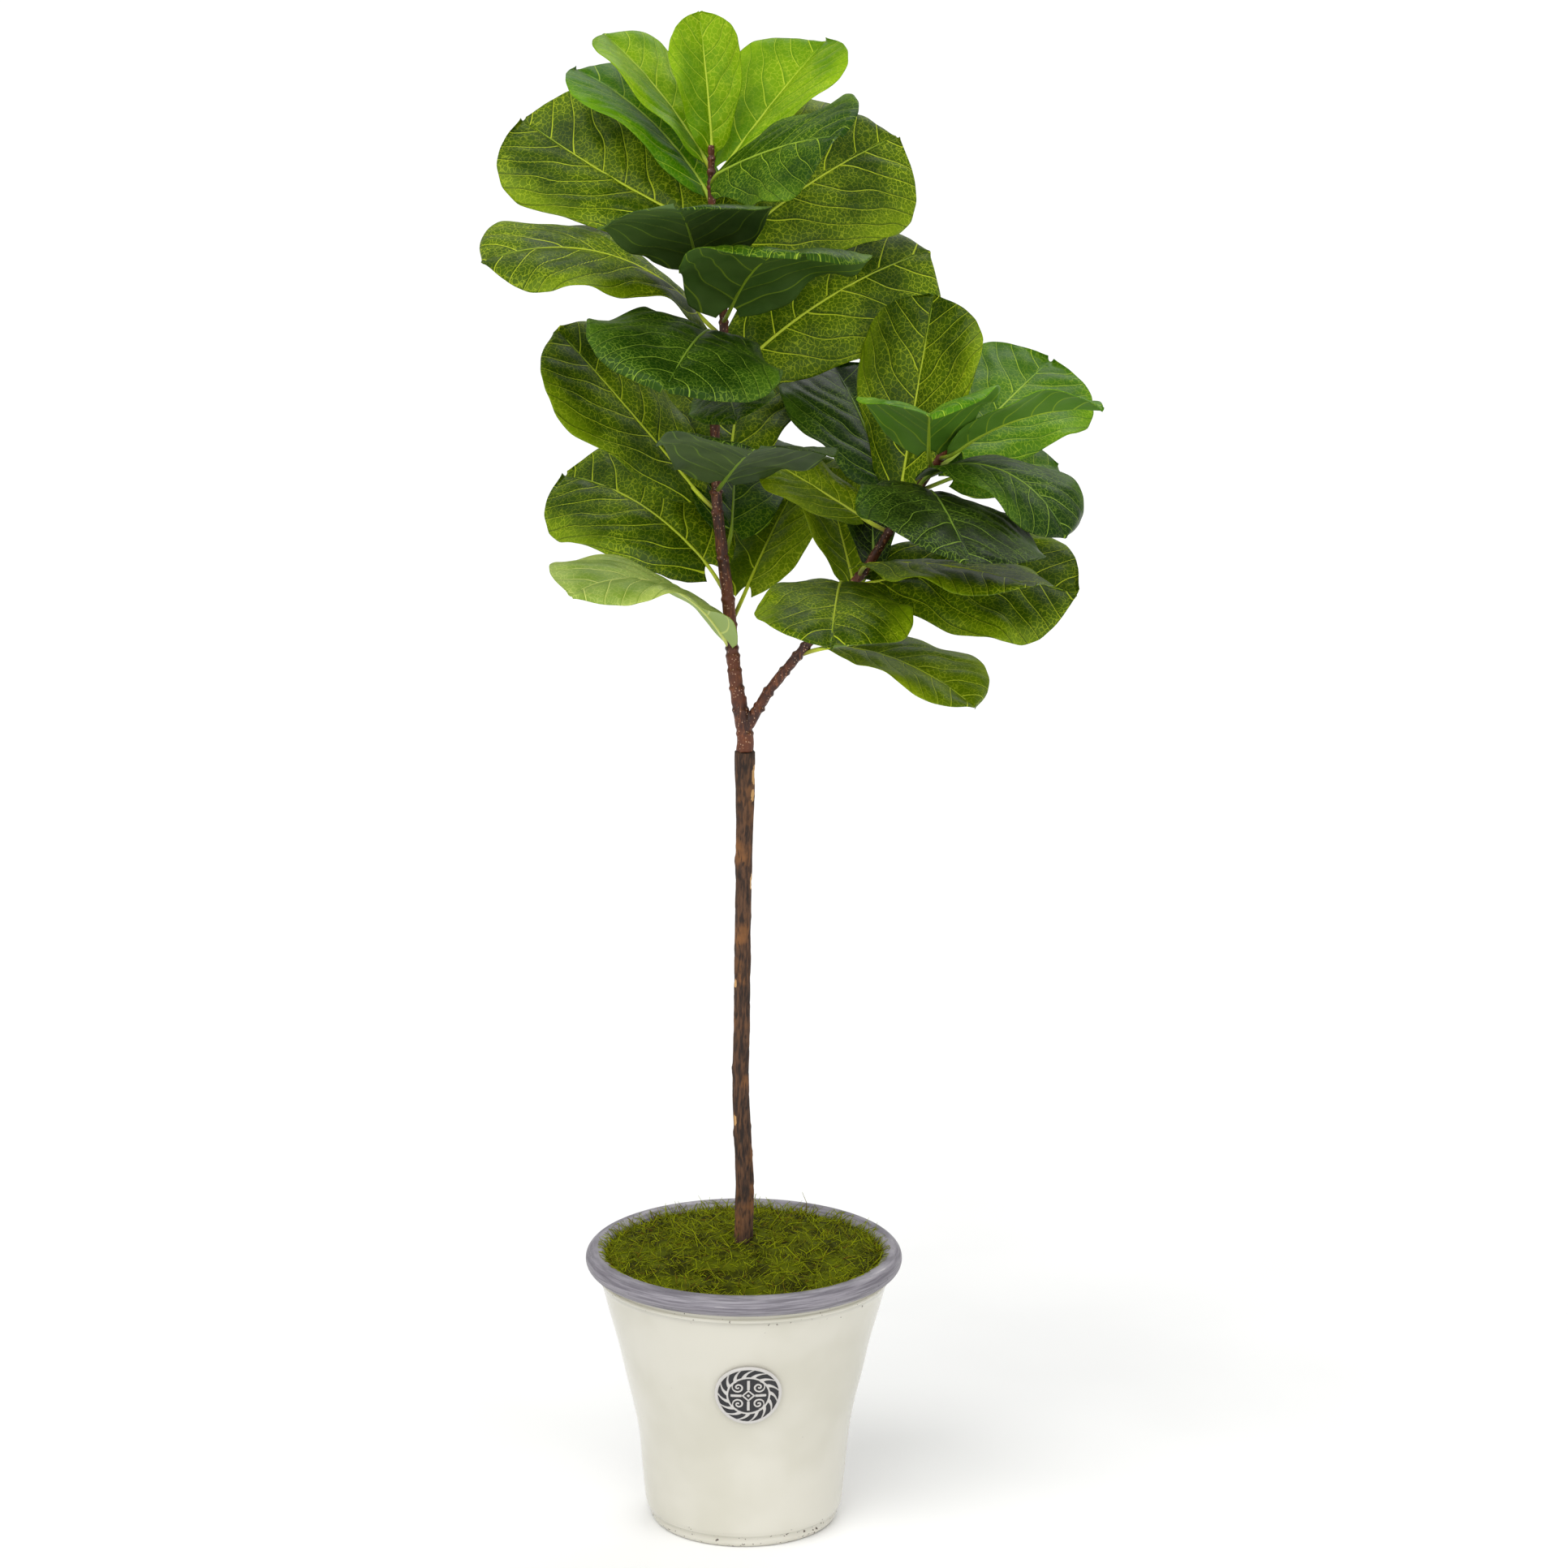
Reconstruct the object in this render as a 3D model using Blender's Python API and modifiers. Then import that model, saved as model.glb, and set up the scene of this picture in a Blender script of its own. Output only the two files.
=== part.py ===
"""Potted fiddle leaf fig: a tree of large leaves on a bare trunk, in a round glazed pot.

Metres, +Z up. The origin is the centre of the pot's foot, and the plant's front faces -Y.
"""

from collections import namedtuple
from math import cos, pi, radians, sin

import bmesh
import bpy
import numpy as np
from mathutils import Vector, noise

GAP = 0.0003
CAP_WELD = 0.00005

# The pot: a thrown shape that flares towards a rolled rim.
POT_SIDES = 48
POT_WALL = 0.011
POT_FLOOR = 0.014
RIM_ROLL_RADIUS = 0.0105
RIM_ROLL_CENTRE = (0.148, 0.2745)
RIM_ROLL_POINTS = 9
BEAD_RADIUS = 0.1465
BEAD_HEIGHT = 0.2575
FOOT_HEIGHT = 0.009
FOOT_RADIUS = 0.091
GROOVE_RADIUS = 0.0935
# (radius, height) down the outside of the wall
POT_WALL_PROFILE = (
    (0.1425, 0.248),
    (0.1375, 0.228),
    (0.1280, 0.193),
    (0.1200, 0.158),
    (0.1120, 0.124),
    (0.1060, 0.089),
    (0.1030, 0.055),
    (0.1000, 0.022),
    (0.0975, 0.013),
)

# The round relief badge on the front of the pot.
BADGE_RADIUS = 0.0325
BADGE_HEIGHT = 0.174
BADGE_THICKNESS = 0.0042
BADGE_RIM_WIDTH = 0.0030
BADGE_FIELD_RADIUS = 0.0215
BADGE_TURN = radians(2.0)
BADGE_SIDES = 32

# What fills the pot.
SOIL_TOP = 0.2560
TRUNK_HOLE_RADIUS = 0.0115
MOSS_RADIUS = 0.1360
MOSS_EDGE_TOP = 0.2740
MOSS_CROWN_TOP = 0.2950
MOSS_LUMP = 0.0030
MOSS_LUMP_SIZE = 0.030

# The trunk: a bare stick, (x, y, z, radius) from its foot in the soil to its cut top.
TRUNK_PATH = (
    (0.000, 0.000, 0.030, 0.0092),
    (0.000, 0.000, 0.200, 0.0094),
    (0.000, 0.000, 0.300, 0.0096),
    (0.001, 0.000, 0.345, 0.0092),
    (-0.001, 0.001, 0.395, 0.0088),
    (-0.003, 0.001, 0.450, 0.0084),
    (-0.002, 0.000, 0.530, 0.0082),
    (-0.001, -0.001, 0.610, 0.0080),
    (0.000, -0.001, 0.680, 0.0082),
    (0.001, 0.000, 0.740, 0.0090),
    (0.001, 0.000, 0.780, 0.0101),
    (0.001, 0.000, 0.795, 0.0103),
)

# The crown's two stems, (x, y, z, radius) upwards. The branch starts inside the leader.
LEADER_PATH = (
    (0.001, 0.000, 0.7955, 0.0086),
    (0.001, 0.000, 0.812, 0.0081),
    (-0.006, 0.002, 0.852, 0.0072),
    (-0.011, 0.005, 0.893, 0.0064),
    (-0.015, 0.010, 0.941, 0.0062),
    (-0.021, 0.014, 0.990, 0.0058),
    (-0.026, 0.016, 1.038, 0.0054),
    (-0.027, 0.018, 1.080, 0.0050),
    (-0.028, 0.020, 1.118, 0.0048),
    (-0.026, 0.020, 1.150, 0.0047),
    (-0.020, 0.020, 1.190, 0.0045),
    (-0.020, 0.020, 1.235, 0.0044),
    (-0.025, 0.020, 1.275, 0.0042),
    (-0.030, 0.020, 1.315, 0.0040),
    (-0.031, 0.020, 1.345, 0.0037),
    (-0.031, 0.020, 1.385, 0.0030),
)
BRANCH_PATH = (
    (0.002, 0.000, 0.817, 0.0056),
    (0.023, -0.002, 0.854, 0.0052),
    (0.046, -0.008, 0.885, 0.0050),
    (0.066, -0.014, 0.911, 0.0048),
    (0.101, -0.022, 0.961, 0.0046),
    (0.119, -0.028, 0.985, 0.0045),
    (0.137, -0.034, 1.016, 0.0043),
    (0.166, -0.044, 1.063, 0.0041),
    (0.192, -0.052, 1.102, 0.0038),
    (0.209, -0.060, 1.126, 0.0032),
)
STEMS = {"leader": LEADER_PATH, "branch": BRANCH_PATH}

# The leaves. Each grows from its stem at height node_z on a stalk that ends at the blade's base.
# heading is the compass direction the blade points in, counted from +X towards +Y. rise is how
# steeply it climbs at its base and at its tip. roll turns it about its midrib, fold lifts its two
# halves into a V, and sweep bends it sideways. Angles are in degrees, and sizes in metres.
Leaf = namedtuple(
    "Leaf", "name stem node_z base heading rise tip_rise roll length width fold sweep"
)
LEAVES = (
    # The leader's leaves, from the top down.
    Leaf("leaf_l01", "leader", 1.372, (-0.031, 0.030, 1.386), 120, 83, 75, 0, 0.125, 0.080, 18, 0),
    Leaf("leaf_l02", "leader", 1.360, (-0.041, 0.038, 1.376), 143, 52, 32, 0, 0.160, 0.105, 22, 0),
    Leaf("leaf_l03", "leader", 1.325, (-0.040, 0.040, 1.345), 147, 52, 18, -5, 0.180, 0.125, 18, 0),
    Leaf("leaf_l04", "leader", 1.350, (-0.014, 0.040, 1.368), 46, 42, 34, 5, 0.170, 0.130, 25, 0),
    Leaf("leaf_l05", "leader", 1.345, (-0.022, -0.003, 1.362), -45, 25, 8, 40, 0.170, 0.145, 3, -5),
    Leaf("leaf_l06", "leader", 1.290, (-0.053, 0.040, 1.312), 145, 18, 27, -37, 0.215, 0.165, 18, 0),
    Leaf("leaf_l07", "leader", 1.265, (-0.010, 0.042, 1.288), 37, 33, 15, 43, 0.220, 0.180, 5, 0),
    Leaf("leaf_l08", "leader", 1.255, (-0.045, -0.012, 1.277), -95, 33, 12, 7, 0.195, 0.165, 12, 0),
    Leaf("leaf_l09", "leader", 1.215, (-0.012, -0.010, 1.234), -68, 45, 0, -5, 0.200, 0.185, 8, 0),
    Leaf("leaf_l10", "leader", 1.200, (-0.045, 0.018, 1.225), 200, 50, -20, -15, 0.235, 0.175, 7, -5),
    Leaf("leaf_l11", "leader", 1.150, (0.007, 0.040, 1.178), 33, 35, 10, 42, 0.230, 0.170, 0, 0),
    Leaf("leaf_l12", "leader", 1.190, (-0.035, -0.028, 1.214), -98, 5, -18, -16, 0.205, 0.190, 15, -5),
    Leaf("leaf_l13", "leader", 1.145, (-0.020, -0.012, 1.160), -84, 0, -12, 15, 0.130, 0.085, 15, 0),
    Leaf("leaf_l14", "leader", 1.030, (-0.051, 0.028, 1.054), 167, 50, 46, -26, 0.200, 0.153, 9, 0),
    Leaf("leaf_l15", "leader", 1.050, (-0.013, 0.055, 1.080), 83, 38, 10, -3, 0.212, 0.168, 12, 5),
    Leaf("leaf_l16", "leader", 1.050, (-0.019, -0.015, 1.066), -79, 24, 12, -6, 0.218, 0.173, 18, -5),
    Leaf("leaf_l17", "leader", 0.985, (-0.012, 0.050, 1.007), 87, 32, 6, 15, 0.200, 0.143, 24, 5),
    Leaf("leaf_l18", "leader", 0.920, (0.004, 0.045, 0.951), 64, 41, 29, -7, 0.185, 0.135, 13, 0),
    Leaf("leaf_l19", "leader", 0.945, (-0.036, 0.035, 0.974), 140, 40, 0, -28, 0.200, 0.165, 10, 0),
    Leaf("leaf_l20", "leader", 0.890, (-0.022, 0.000, 0.913), 213, 56, -19, -7, 0.205, 0.150, 14, 9),
    # The branch's leaves, from the fork outwards.
    Leaf("leaf_b01", "branch", 0.893, (0.087, -0.031, 0.906), -43, 8, -30, 3, 0.180, 0.115, 20, 5),
    Leaf("leaf_b02", "branch", 0.950, (0.093, -0.050, 0.974), -94, 5, -20, -4, 0.190, 0.150, 13, 0),
    Leaf("leaf_b03", "branch", 0.965, (0.124, -0.026, 0.969), -7, 13, -17, 35, 0.200, 0.160, 8, 0),
    Leaf("leaf_b04", "branch", 0.975, (0.123, -0.050, 0.992), -42, 11, -8, -5, 0.200, 0.160, 7, 0),
    Leaf("leaf_b05", "branch", 1.050, (0.178, -0.079, 1.068), -87, 8, -22, -15, 0.220, 0.185, 10, 9),
    Leaf("leaf_b06", "branch", 1.063, (0.179, -0.068, 1.083), -39, 30, -61, 0, 0.180, 0.130, 11, 2),
    Leaf("leaf_b07", "branch", 1.060, (0.200, -0.025, 1.071), 48, 5, -13, 38, 0.165, 0.115, 10, 0),
    Leaf("leaf_b08", "branch", 1.080, (0.207, -0.023, 1.097), 58, 22, 17, 24, 0.190, 0.155, 10, 0),
    Leaf("leaf_b09", "branch", 1.095, (0.204, -0.079, 1.108), -18, 38, -2, -14, 0.150, 0.075, 35, 0),
    Leaf("leaf_b10", "branch", 1.085, (0.175, -0.084, 1.108), -92, 45, 0, 3, 0.150, 0.140, 28, 0),
    Leaf("leaf_b11", "branch", 1.045, (0.153, -0.014, 1.068), 55, 74, 72, 0, 0.180, 0.140, 18, 0),
    Leaf("leaf_b12", "branch", 1.035, (0.136, 0.005, 1.064), 108, 40, 20, 0, 0.175, 0.150, 14, 0),
    Leaf("leaf_b13", "branch", 1.020, (0.112, -0.016, 1.032), 160, 30, 26, -20, 0.110, 0.085, 12, 0),
    Leaf("leaf_b14", "branch", 0.950, (0.105, 0.012, 0.965), 115, 60, 52, 10, 0.120, 0.085, 16, 0),
    Leaf("leaf_b15", "branch", 0.980, (0.126, -0.010, 0.985), 95, 66, 58, 0, 0.070, 0.050, 12, 0),
)
YOUNG_LEAVES = ("leaf_l01", "leaf_l02", "leaf_l03", "leaf_l04", "leaf_b09", "leaf_b10")

# The shape that all the leaves share: half width, as a share of the widest, along the blade.
LEAF_OUTLINE = (
    (0.00, 0.10),
    (0.06, 0.42),
    (0.14, 0.58),
    (0.25, 0.68),
    (0.40, 0.86),
    (0.56, 0.99),
    (0.68, 1.00),
    (0.80, 0.90),
    (0.90, 0.68),
    (0.96, 0.42),
    (1.00, 0.07),
)
BLADE_STATIONS = (0.0, 0.07, 0.18, 0.34, 0.52, 0.70, 0.86, 0.96, 1.0)
HALF_COLUMNS = 2
EDGE_CURL = radians(-12)
MIDRIB_THICKNESS = 0.0022
EDGE_THICKNESS = 0.0010
STALK_RADIUS = 0.0020
STALK_STATIONS = 4
MIDRIB_STEPS = 24


# --- Leaf geometry -----------------------------------------------------------------------


def unit(vector):
    return vector / np.linalg.norm(vector)


def stem_at(stem, height):
    """The centre and radius of a stem at this height."""
    path = np.array(STEMS[stem])
    centre = [np.interp(height, path[:, 2], path[:, axis]) for axis in range(3)]
    return np.array(centre), np.interp(height, path[:, 2], path[:, 3])


def stem_direction(stem, height):
    """Which way a stem runs at this height."""
    step = 0.002
    return unit(stem_at(stem, height + step)[0] - stem_at(stem, height - step)[0])


def midrib_of(leaf):
    """Points, forward, sideways and upward directions at even steps along a leaf's midrib."""
    share = np.linspace(0, 1, MIDRIB_STEPS + 1)
    rise = np.radians(leaf.rise + (leaf.tip_rise - leaf.rise) * share)
    heading = np.radians(leaf.heading + leaf.sweep * share)
    forward = np.stack(
        [np.cos(rise) * np.cos(heading), np.cos(rise) * np.sin(heading), np.sin(rise)], axis=1
    )
    level = np.stack([-np.sin(heading), np.cos(heading), 0 * heading], axis=1)
    upright = np.cross(forward, level)
    roll = radians(leaf.roll)
    side = cos(roll) * level + sin(roll) * upright
    up = cos(roll) * upright - sin(roll) * level
    steps = (forward[1:] + forward[:-1]) / 2 * leaf.length / MIDRIB_STEPS
    points = np.vstack([np.zeros(3), np.cumsum(steps, axis=0)]) + leaf.base
    return share, points, forward, side, up


def resampled(share, rows, stations):
    return np.stack([np.interp(stations, share, rows[:, axis]) for axis in range(3)], axis=1)


def blade_grid(leaf, stations, half_columns):
    """Points of the blade's mid-surface, rows base to tip, with each row's upward direction."""
    share, points, _, side, up = midrib_of(leaf)
    middle = resampled(share, points, stations)
    side = resampled(share, side, stations)
    up = resampled(share, up, stations)
    half_width = np.interp(stations, *zip(*LEAF_OUTLINE)) * leaf.width / 2
    across = np.linspace(-1, 1, 2 * half_columns + 1)
    reach = np.abs(across)[None, :] * half_width[:, None]
    tilt = radians(leaf.fold) + EDGE_CURL * np.abs(across)[None, :]
    out = reach * np.cos(tilt) * np.sign(across)[None, :]
    lift = reach * np.sin(tilt)
    grid = middle[:, None] + out[..., None] * side[:, None] + lift[..., None] * up[:, None]
    return grid, up


def blade_rings(leaf):
    """Closed sections through the blade, each running over its top and back underneath."""
    grid, up = blade_grid(leaf, np.array(BLADE_STATIONS), HALF_COLUMNS)
    across = np.abs(np.linspace(-1, 1, 2 * HALF_COLUMNS + 1))
    half = (MIDRIB_THICKNESS + (EDGE_THICKNESS - MIDRIB_THICKNESS) * across) / 2
    top = grid + half[None, :, None] * up[:, None]
    bottom = grid - half[None, :, None] * up[:, None]
    return np.concatenate([top, bottom[:, ::-1]], axis=1)


def stalk_curve(leaf):
    """Points and directions along the stalk's centre, from just off the stem to the blade."""
    centre, stem_radius = stem_at(leaf.stem, leaf.node_z)
    base = np.array(leaf.base)
    _, _, forward, _, _ = midrib_of(leaf)
    reach = np.linalg.norm(base - centre)
    bend = base - forward[0] * reach * 0.4
    away = unit(bend - centre)
    along = abs(away @ stem_direction(leaf.stem, leaf.node_z))
    outward = max((1 - along**2) ** 0.5, 0.3)
    start = centre + away * (stem_radius + 2 * GAP + STALK_RADIUS * along) / outward
    share = np.linspace(0, 1, STALK_STATIONS + 1)[:-1, None]
    points = (1 - share) ** 2 * start + 2 * share * (1 - share) * bend + share**2 * base
    directions = 2 * (1 - share) * (bend - start) + 2 * share * (base - bend)
    return points, directions / np.linalg.norm(directions, axis=1)[:, None]


def stalk_rings(leaf):
    """Round sections along the stalk, with the same number of points as the blade's."""
    points, directions = stalk_curve(leaf)
    _, _, _, side, _ = midrib_of(leaf)
    sideways = side[0]
    count = 2 * (2 * HALF_COLUMNS + 1)
    turns = pi - (np.arange(count) + 0.5) * 2 * pi / count
    rings = []
    for centre, direction in zip(points[::-1], directions[::-1]):
        sideways = unit(sideways - direction * (sideways @ direction))
        upward = np.cross(direction, sideways)
        ring = np.cos(turns)[:, None] * sideways + np.sin(turns)[:, None] * upward
        rings.append(centre + STALK_RADIUS * ring)
    return np.array(rings[::-1])


def loft_faces(rings, sides):
    """Quads between rings of points, and a cap on each end."""
    faces = []
    for ring in range(rings - 1):
        for side in range(sides):
            following = (side + 1) % sides
            low, high = ring * sides, (ring + 1) * sides
            faces.append((low + side, high + side, high + following, low + following))
    faces.append(tuple(range(sides)))
    faces.append(tuple(reversed(range((rings - 1) * sides, rings * sides))))
    return faces


def leaf_shape(leaf):
    """Vertices and faces of one leaf: its stalk and blade in one closed loft."""
    rings = np.concatenate([stalk_rings(leaf), blade_rings(leaf)])
    return rings.reshape(-1, 3), loft_faces(rings.shape[0], rings.shape[1])


# --- Scene helpers -----------------------------------------------------------------------


def clear_scene():
    for old in list(bpy.data.objects):
        bpy.data.objects.remove(old, do_unlink=True)


def new_collection(name):
    collection = bpy.data.collections.new(name)
    bpy.context.scene.collection.children.link(collection)
    return collection


def new_material(name, colour, roughness, metallic=0.0):
    material = bpy.data.materials.new(name)
    material.use_nodes = True
    shader = material.node_tree.nodes["Principled BSDF"]
    shader.inputs["Base Color"].default_value = (*colour, 1.0)
    shader.inputs["Roughness"].default_value = roughness
    shader.inputs["Metallic"].default_value = metallic
    return material


def new_mesh_object(name, points, faces, collection, material):
    mesh = bpy.data.meshes.new(name)
    mesh.from_pydata([tuple(map(float, point)) for point in points], [], faces)
    mesh.update()
    made = bpy.data.objects.new(name, mesh)
    made.data.materials.append(material)
    collection.objects.link(made)
    return made


def shade_smooth(made):
    for polygon in made.data.polygons:
        polygon.use_smooth = True


def spin_profile(name, profile, sides, collection, material):
    """A turned body from (radius, height) points that run up inside and down outside."""
    points = [(radius, 0.0, height) for radius, height in profile]
    edges = [(index, index + 1) for index in range(len(points) - 1)]
    mesh = bpy.data.meshes.new(name)
    mesh.from_pydata(points, edges, [])
    made = bpy.data.objects.new(name, mesh)
    made.data.materials.append(material)
    collection.objects.link(made)
    screw = made.modifiers.new("Turn", "SCREW")
    screw.steps = sides
    screw.render_steps = sides
    screw.use_merge_vertices = True
    screw.merge_threshold = 0.0001
    screw.use_smooth_shade = True
    return made


def tube(name, path, collection, material):
    """A mesh tube along (x, y, z, radius) points, closed at both ends."""
    curve = bpy.data.curves.new(name, "CURVE")
    curve.dimensions = "3D"
    curve.bevel_depth = 1.0
    curve.bevel_resolution = 2
    curve.use_fill_caps = True
    spline = curve.splines.new("POLY")
    spline.points.add(len(path) - 1)
    for point, (x, y, z, radius) in zip(spline.points, path):
        point.co = (x, y, z, 1.0)
        point.radius = radius
    guide = bpy.data.objects.new(name + "_guide", curve)
    bpy.context.scene.collection.objects.link(guide)
    graph = bpy.context.evaluated_depsgraph_get()
    mesh = bpy.data.meshes.new_from_object(guide.evaluated_get(graph))
    body = bmesh.new()
    body.from_mesh(mesh)
    bmesh.ops.remove_doubles(body, verts=body.verts, dist=CAP_WELD)
    body.to_mesh(mesh)
    body.free()
    mesh.name = name
    mesh.materials.clear()
    mesh.materials.append(material)
    made = bpy.data.objects.new(name, mesh)
    made.matrix_world = guide.matrix_world
    collection.objects.link(made)
    bpy.data.objects.remove(guide, do_unlink=True)
    shade_smooth(made)
    return made


# --- The pieces --------------------------------------------------------------------------


def pot_outside():
    """(radius, height) from the top of the roll, down the outside, to the centre of the base."""
    roll_radius, roll_height = RIM_ROLL_CENTRE
    angles = np.linspace(pi / 2, -pi / 2 - 0.3, RIM_ROLL_POINTS)
    roll = [
        (roll_radius + RIM_ROLL_RADIUS * cos(a), roll_height + RIM_ROLL_RADIUS * sin(a))
        for a in angles
    ]
    bead = [
        (BEAD_RADIUS - 0.0015, BEAD_HEIGHT + 0.0030),
        (BEAD_RADIUS, BEAD_HEIGHT),
        (BEAD_RADIUS - 0.0005, BEAD_HEIGHT - 0.0040),
    ]
    foot = [
        (GROOVE_RADIUS, FOOT_HEIGHT + 0.0008),
        (GROOVE_RADIUS, FOOT_HEIGHT - 0.0008),
        (FOOT_RADIUS + 0.0035, FOOT_HEIGHT - 0.0025),
        (FOOT_RADIUS + 0.0020, 0.0020),
        (FOOT_RADIUS, 0.0),
        (0.0, 0.0),
    ]
    return roll + bead + list(POT_WALL_PROFILE) + foot


def pot_inside_radius(height):
    """The radius of the hollow at this height."""
    heights = [point[1] for point in reversed(POT_WALL_PROFILE)]
    radii = [point[0] for point in reversed(POT_WALL_PROFILE)]
    return float(np.interp(height, heights, radii)) - POT_WALL


def pot_inside():
    """(radius, height) from the centre of the floor up the inside to the roll."""
    roll_radius, roll_height = RIM_ROLL_CENTRE
    heights = (POT_FLOOR, 0.060, 0.110, 0.160, 0.210, 0.245)
    wall = [(pot_inside_radius(height), height) for height in heights]
    inner_angles = np.linspace(pi + 0.5, pi / 2 + 0.35, 4)
    roll = [
        (roll_radius + RIM_ROLL_RADIUS * cos(a), roll_height + RIM_ROLL_RADIUS * sin(a))
        for a in inner_angles
    ]
    return [(0.0, POT_FLOOR)] + wall + roll


def make_pot(collection, material):
    return spin_profile("pot", pot_inside() + pot_outside(), POT_SIDES, collection, material)


def wall_radius(height):
    heights = [point[1] for point in reversed(POT_WALL_PROFILE)]
    radii = [point[0] for point in reversed(POT_WALL_PROFILE)]
    return float(np.interp(height, heights, radii))


def badge_point(radius, angle, offset):
    """A point this far off the pot's wall, at polar coordinates about the badge's centre."""
    across = radius * cos(angle)
    height = BADGE_HEIGHT + radius * sin(angle)
    distance = wall_radius(height) + offset
    turn = across / wall_radius(BADGE_HEIGHT) + BADGE_TURN
    return (distance * sin(turn), -distance * cos(turn), height)


def make_badge(collection, material):
    """A disc that follows the wall: a raised rim and a raised centre with a ring between."""
    back = 3 * GAP
    front = back + BADGE_THICKNESS
    sections = (
        (0.35, back),
        (0.75, back),
        (1.00, back),
        (1.00, front - 0.0012),
        (1.00 - 0.3 * BADGE_RIM_WIDTH / BADGE_RADIUS, front),
        (1.00 - BADGE_RIM_WIDTH / BADGE_RADIUS, front - 0.0010),
        (BADGE_FIELD_RADIUS / BADGE_RADIUS, front - 0.0010),
        (BADGE_FIELD_RADIUS / BADGE_RADIUS - 0.04, front),
        (0.35, front - 0.0004),
    )
    rings = [
        [
            badge_point(share * BADGE_RADIUS, 2 * pi * side / BADGE_SIDES, offset)
            for side in range(BADGE_SIDES)
        ]
        for share, offset in sections
    ]
    faces = [tuple(reversed(face)) for face in loft_faces(len(rings), BADGE_SIDES)]
    points = [point for ring in rings for point in ring]
    badge = new_mesh_object("badge", points, faces, collection, material)
    shade_smooth(badge)
    return badge


def make_soil(collection, material):
    """Potting fill down the inside of the pot, with a hole for the trunk."""
    heights = (POT_FLOOR + 2 * GAP, 0.060, 0.110, 0.160, 0.210, 0.245, SOIL_TOP)
    inner = [
        (TRUNK_HOLE_RADIUS, POT_FLOOR + 2 * GAP),
        (TRUNK_HOLE_RADIUS, SOIL_TOP),
    ]
    outer = [
        (min(pot_inside_radius(height), pot_inside_radius(0.245)) - 0.0009, height)
        for height in reversed(heights)
    ]
    profile = inner + outer + [inner[0]]
    return spin_profile("soil", profile, POT_SIDES, collection, material)


def moss_height(x, y):
    """The lumpy top of the moss, highest against the trunk and tucked down at the pot's rim."""
    distance = min((x * x + y * y) ** 0.5 / MOSS_RADIUS, 1.0)
    dome = MOSS_EDGE_TOP + (MOSS_CROWN_TOP - MOSS_EDGE_TOP) * (1 - distance**2)
    lump = noise.noise(Vector((x, y, 0.0)) / MOSS_LUMP_SIZE)
    return dome + MOSS_LUMP * lump * (1 - distance**6)


def make_moss(collection, material):
    """A sheet of moss over the soil, round the trunk."""
    bottom = SOIL_TOP + GAP
    radii = (TRUNK_HOLE_RADIUS, 0.035, 0.060, 0.085, 0.110, 0.128, MOSS_RADIUS)
    sides = 36

    def ring(radius, height=None):
        turns = [2 * pi * side / sides for side in range(sides)]
        spots = [(radius * cos(turn), radius * sin(turn)) for turn in turns]
        return [(x, y, moss_height(x, y) if height is None else height) for x, y in spots]

    rings = [ring(radius) for radius in radii]
    rings += [ring(MOSS_RADIUS - 0.004, bottom + 0.004), ring(0.118, bottom), ring(0.05, bottom)]
    rings += [ring(TRUNK_HOLE_RADIUS, bottom)]
    faces = []
    for index in range(len(rings)):
        following = (index + 1) % len(rings)
        for side in range(sides):
            other = (side + 1) % sides
            low, high = index * sides, following * sides
            faces.append((low + side, high + side, high + other, low + other))
    points = [point for ring_points in rings for point in ring_points]
    moss = new_mesh_object("moss", points, faces, collection, material)
    shade_smooth(moss)
    return moss


def make_crown(collection, cutters, material):
    """The leader and its one branch, joined into a fork."""
    leader = tube("crown_stem", LEADER_PATH, collection, material)
    branch = tube("branch_to_join", BRANCH_PATH, cutters, material)
    branch.hide_render = True
    branch.display_type = "WIRE"
    join = leader.modifiers.new("Join branch", "BOOLEAN")
    join.operation = "UNION"
    join.solver = "EXACT"
    join.object = branch
    return leader


def make_leaf(leaf, collection, material):
    points, faces = leaf_shape(leaf)
    made = new_mesh_object(leaf.name, points, faces, collection, material)
    shade_smooth(made)
    return made


def main():
    clear_scene()
    plant = new_collection("potted_fiddle_leaf_fig")
    cutters = new_collection("cutters")
    cutters.hide_render = True
    make_pot(plant, new_material("cream_glaze", (0.74, 0.74, 0.68), 0.18))
    make_badge(plant, new_material("badge_glaze", (0.55, 0.55, 0.52), 0.25))
    make_soil(plant, new_material("potting_fill", (0.05, 0.035, 0.025), 0.95))
    make_moss(plant, new_material("sheet_moss", (0.11, 0.13, 0.02), 0.95))
    tube("trunk", TRUNK_PATH, plant, new_material("bark", (0.08, 0.045, 0.025), 0.80))
    make_crown(plant, cutters, new_material("crown_bark", (0.16, 0.06, 0.035), 0.65))
    mature = new_material("leaf_green", (0.06, 0.14, 0.015), 0.38)
    young = new_material("leaf_young", (0.25, 0.42, 0.03), 0.40)
    for leaf in LEAVES:
        make_leaf(leaf, plant, young if leaf.name in YOUNG_LEAVES else mature)


main()
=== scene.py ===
from collections import namedtuple
from functools import partial
from math import cos, pi, radians, sin, tau

import bpy
import numpy as np
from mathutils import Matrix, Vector, noise


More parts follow.
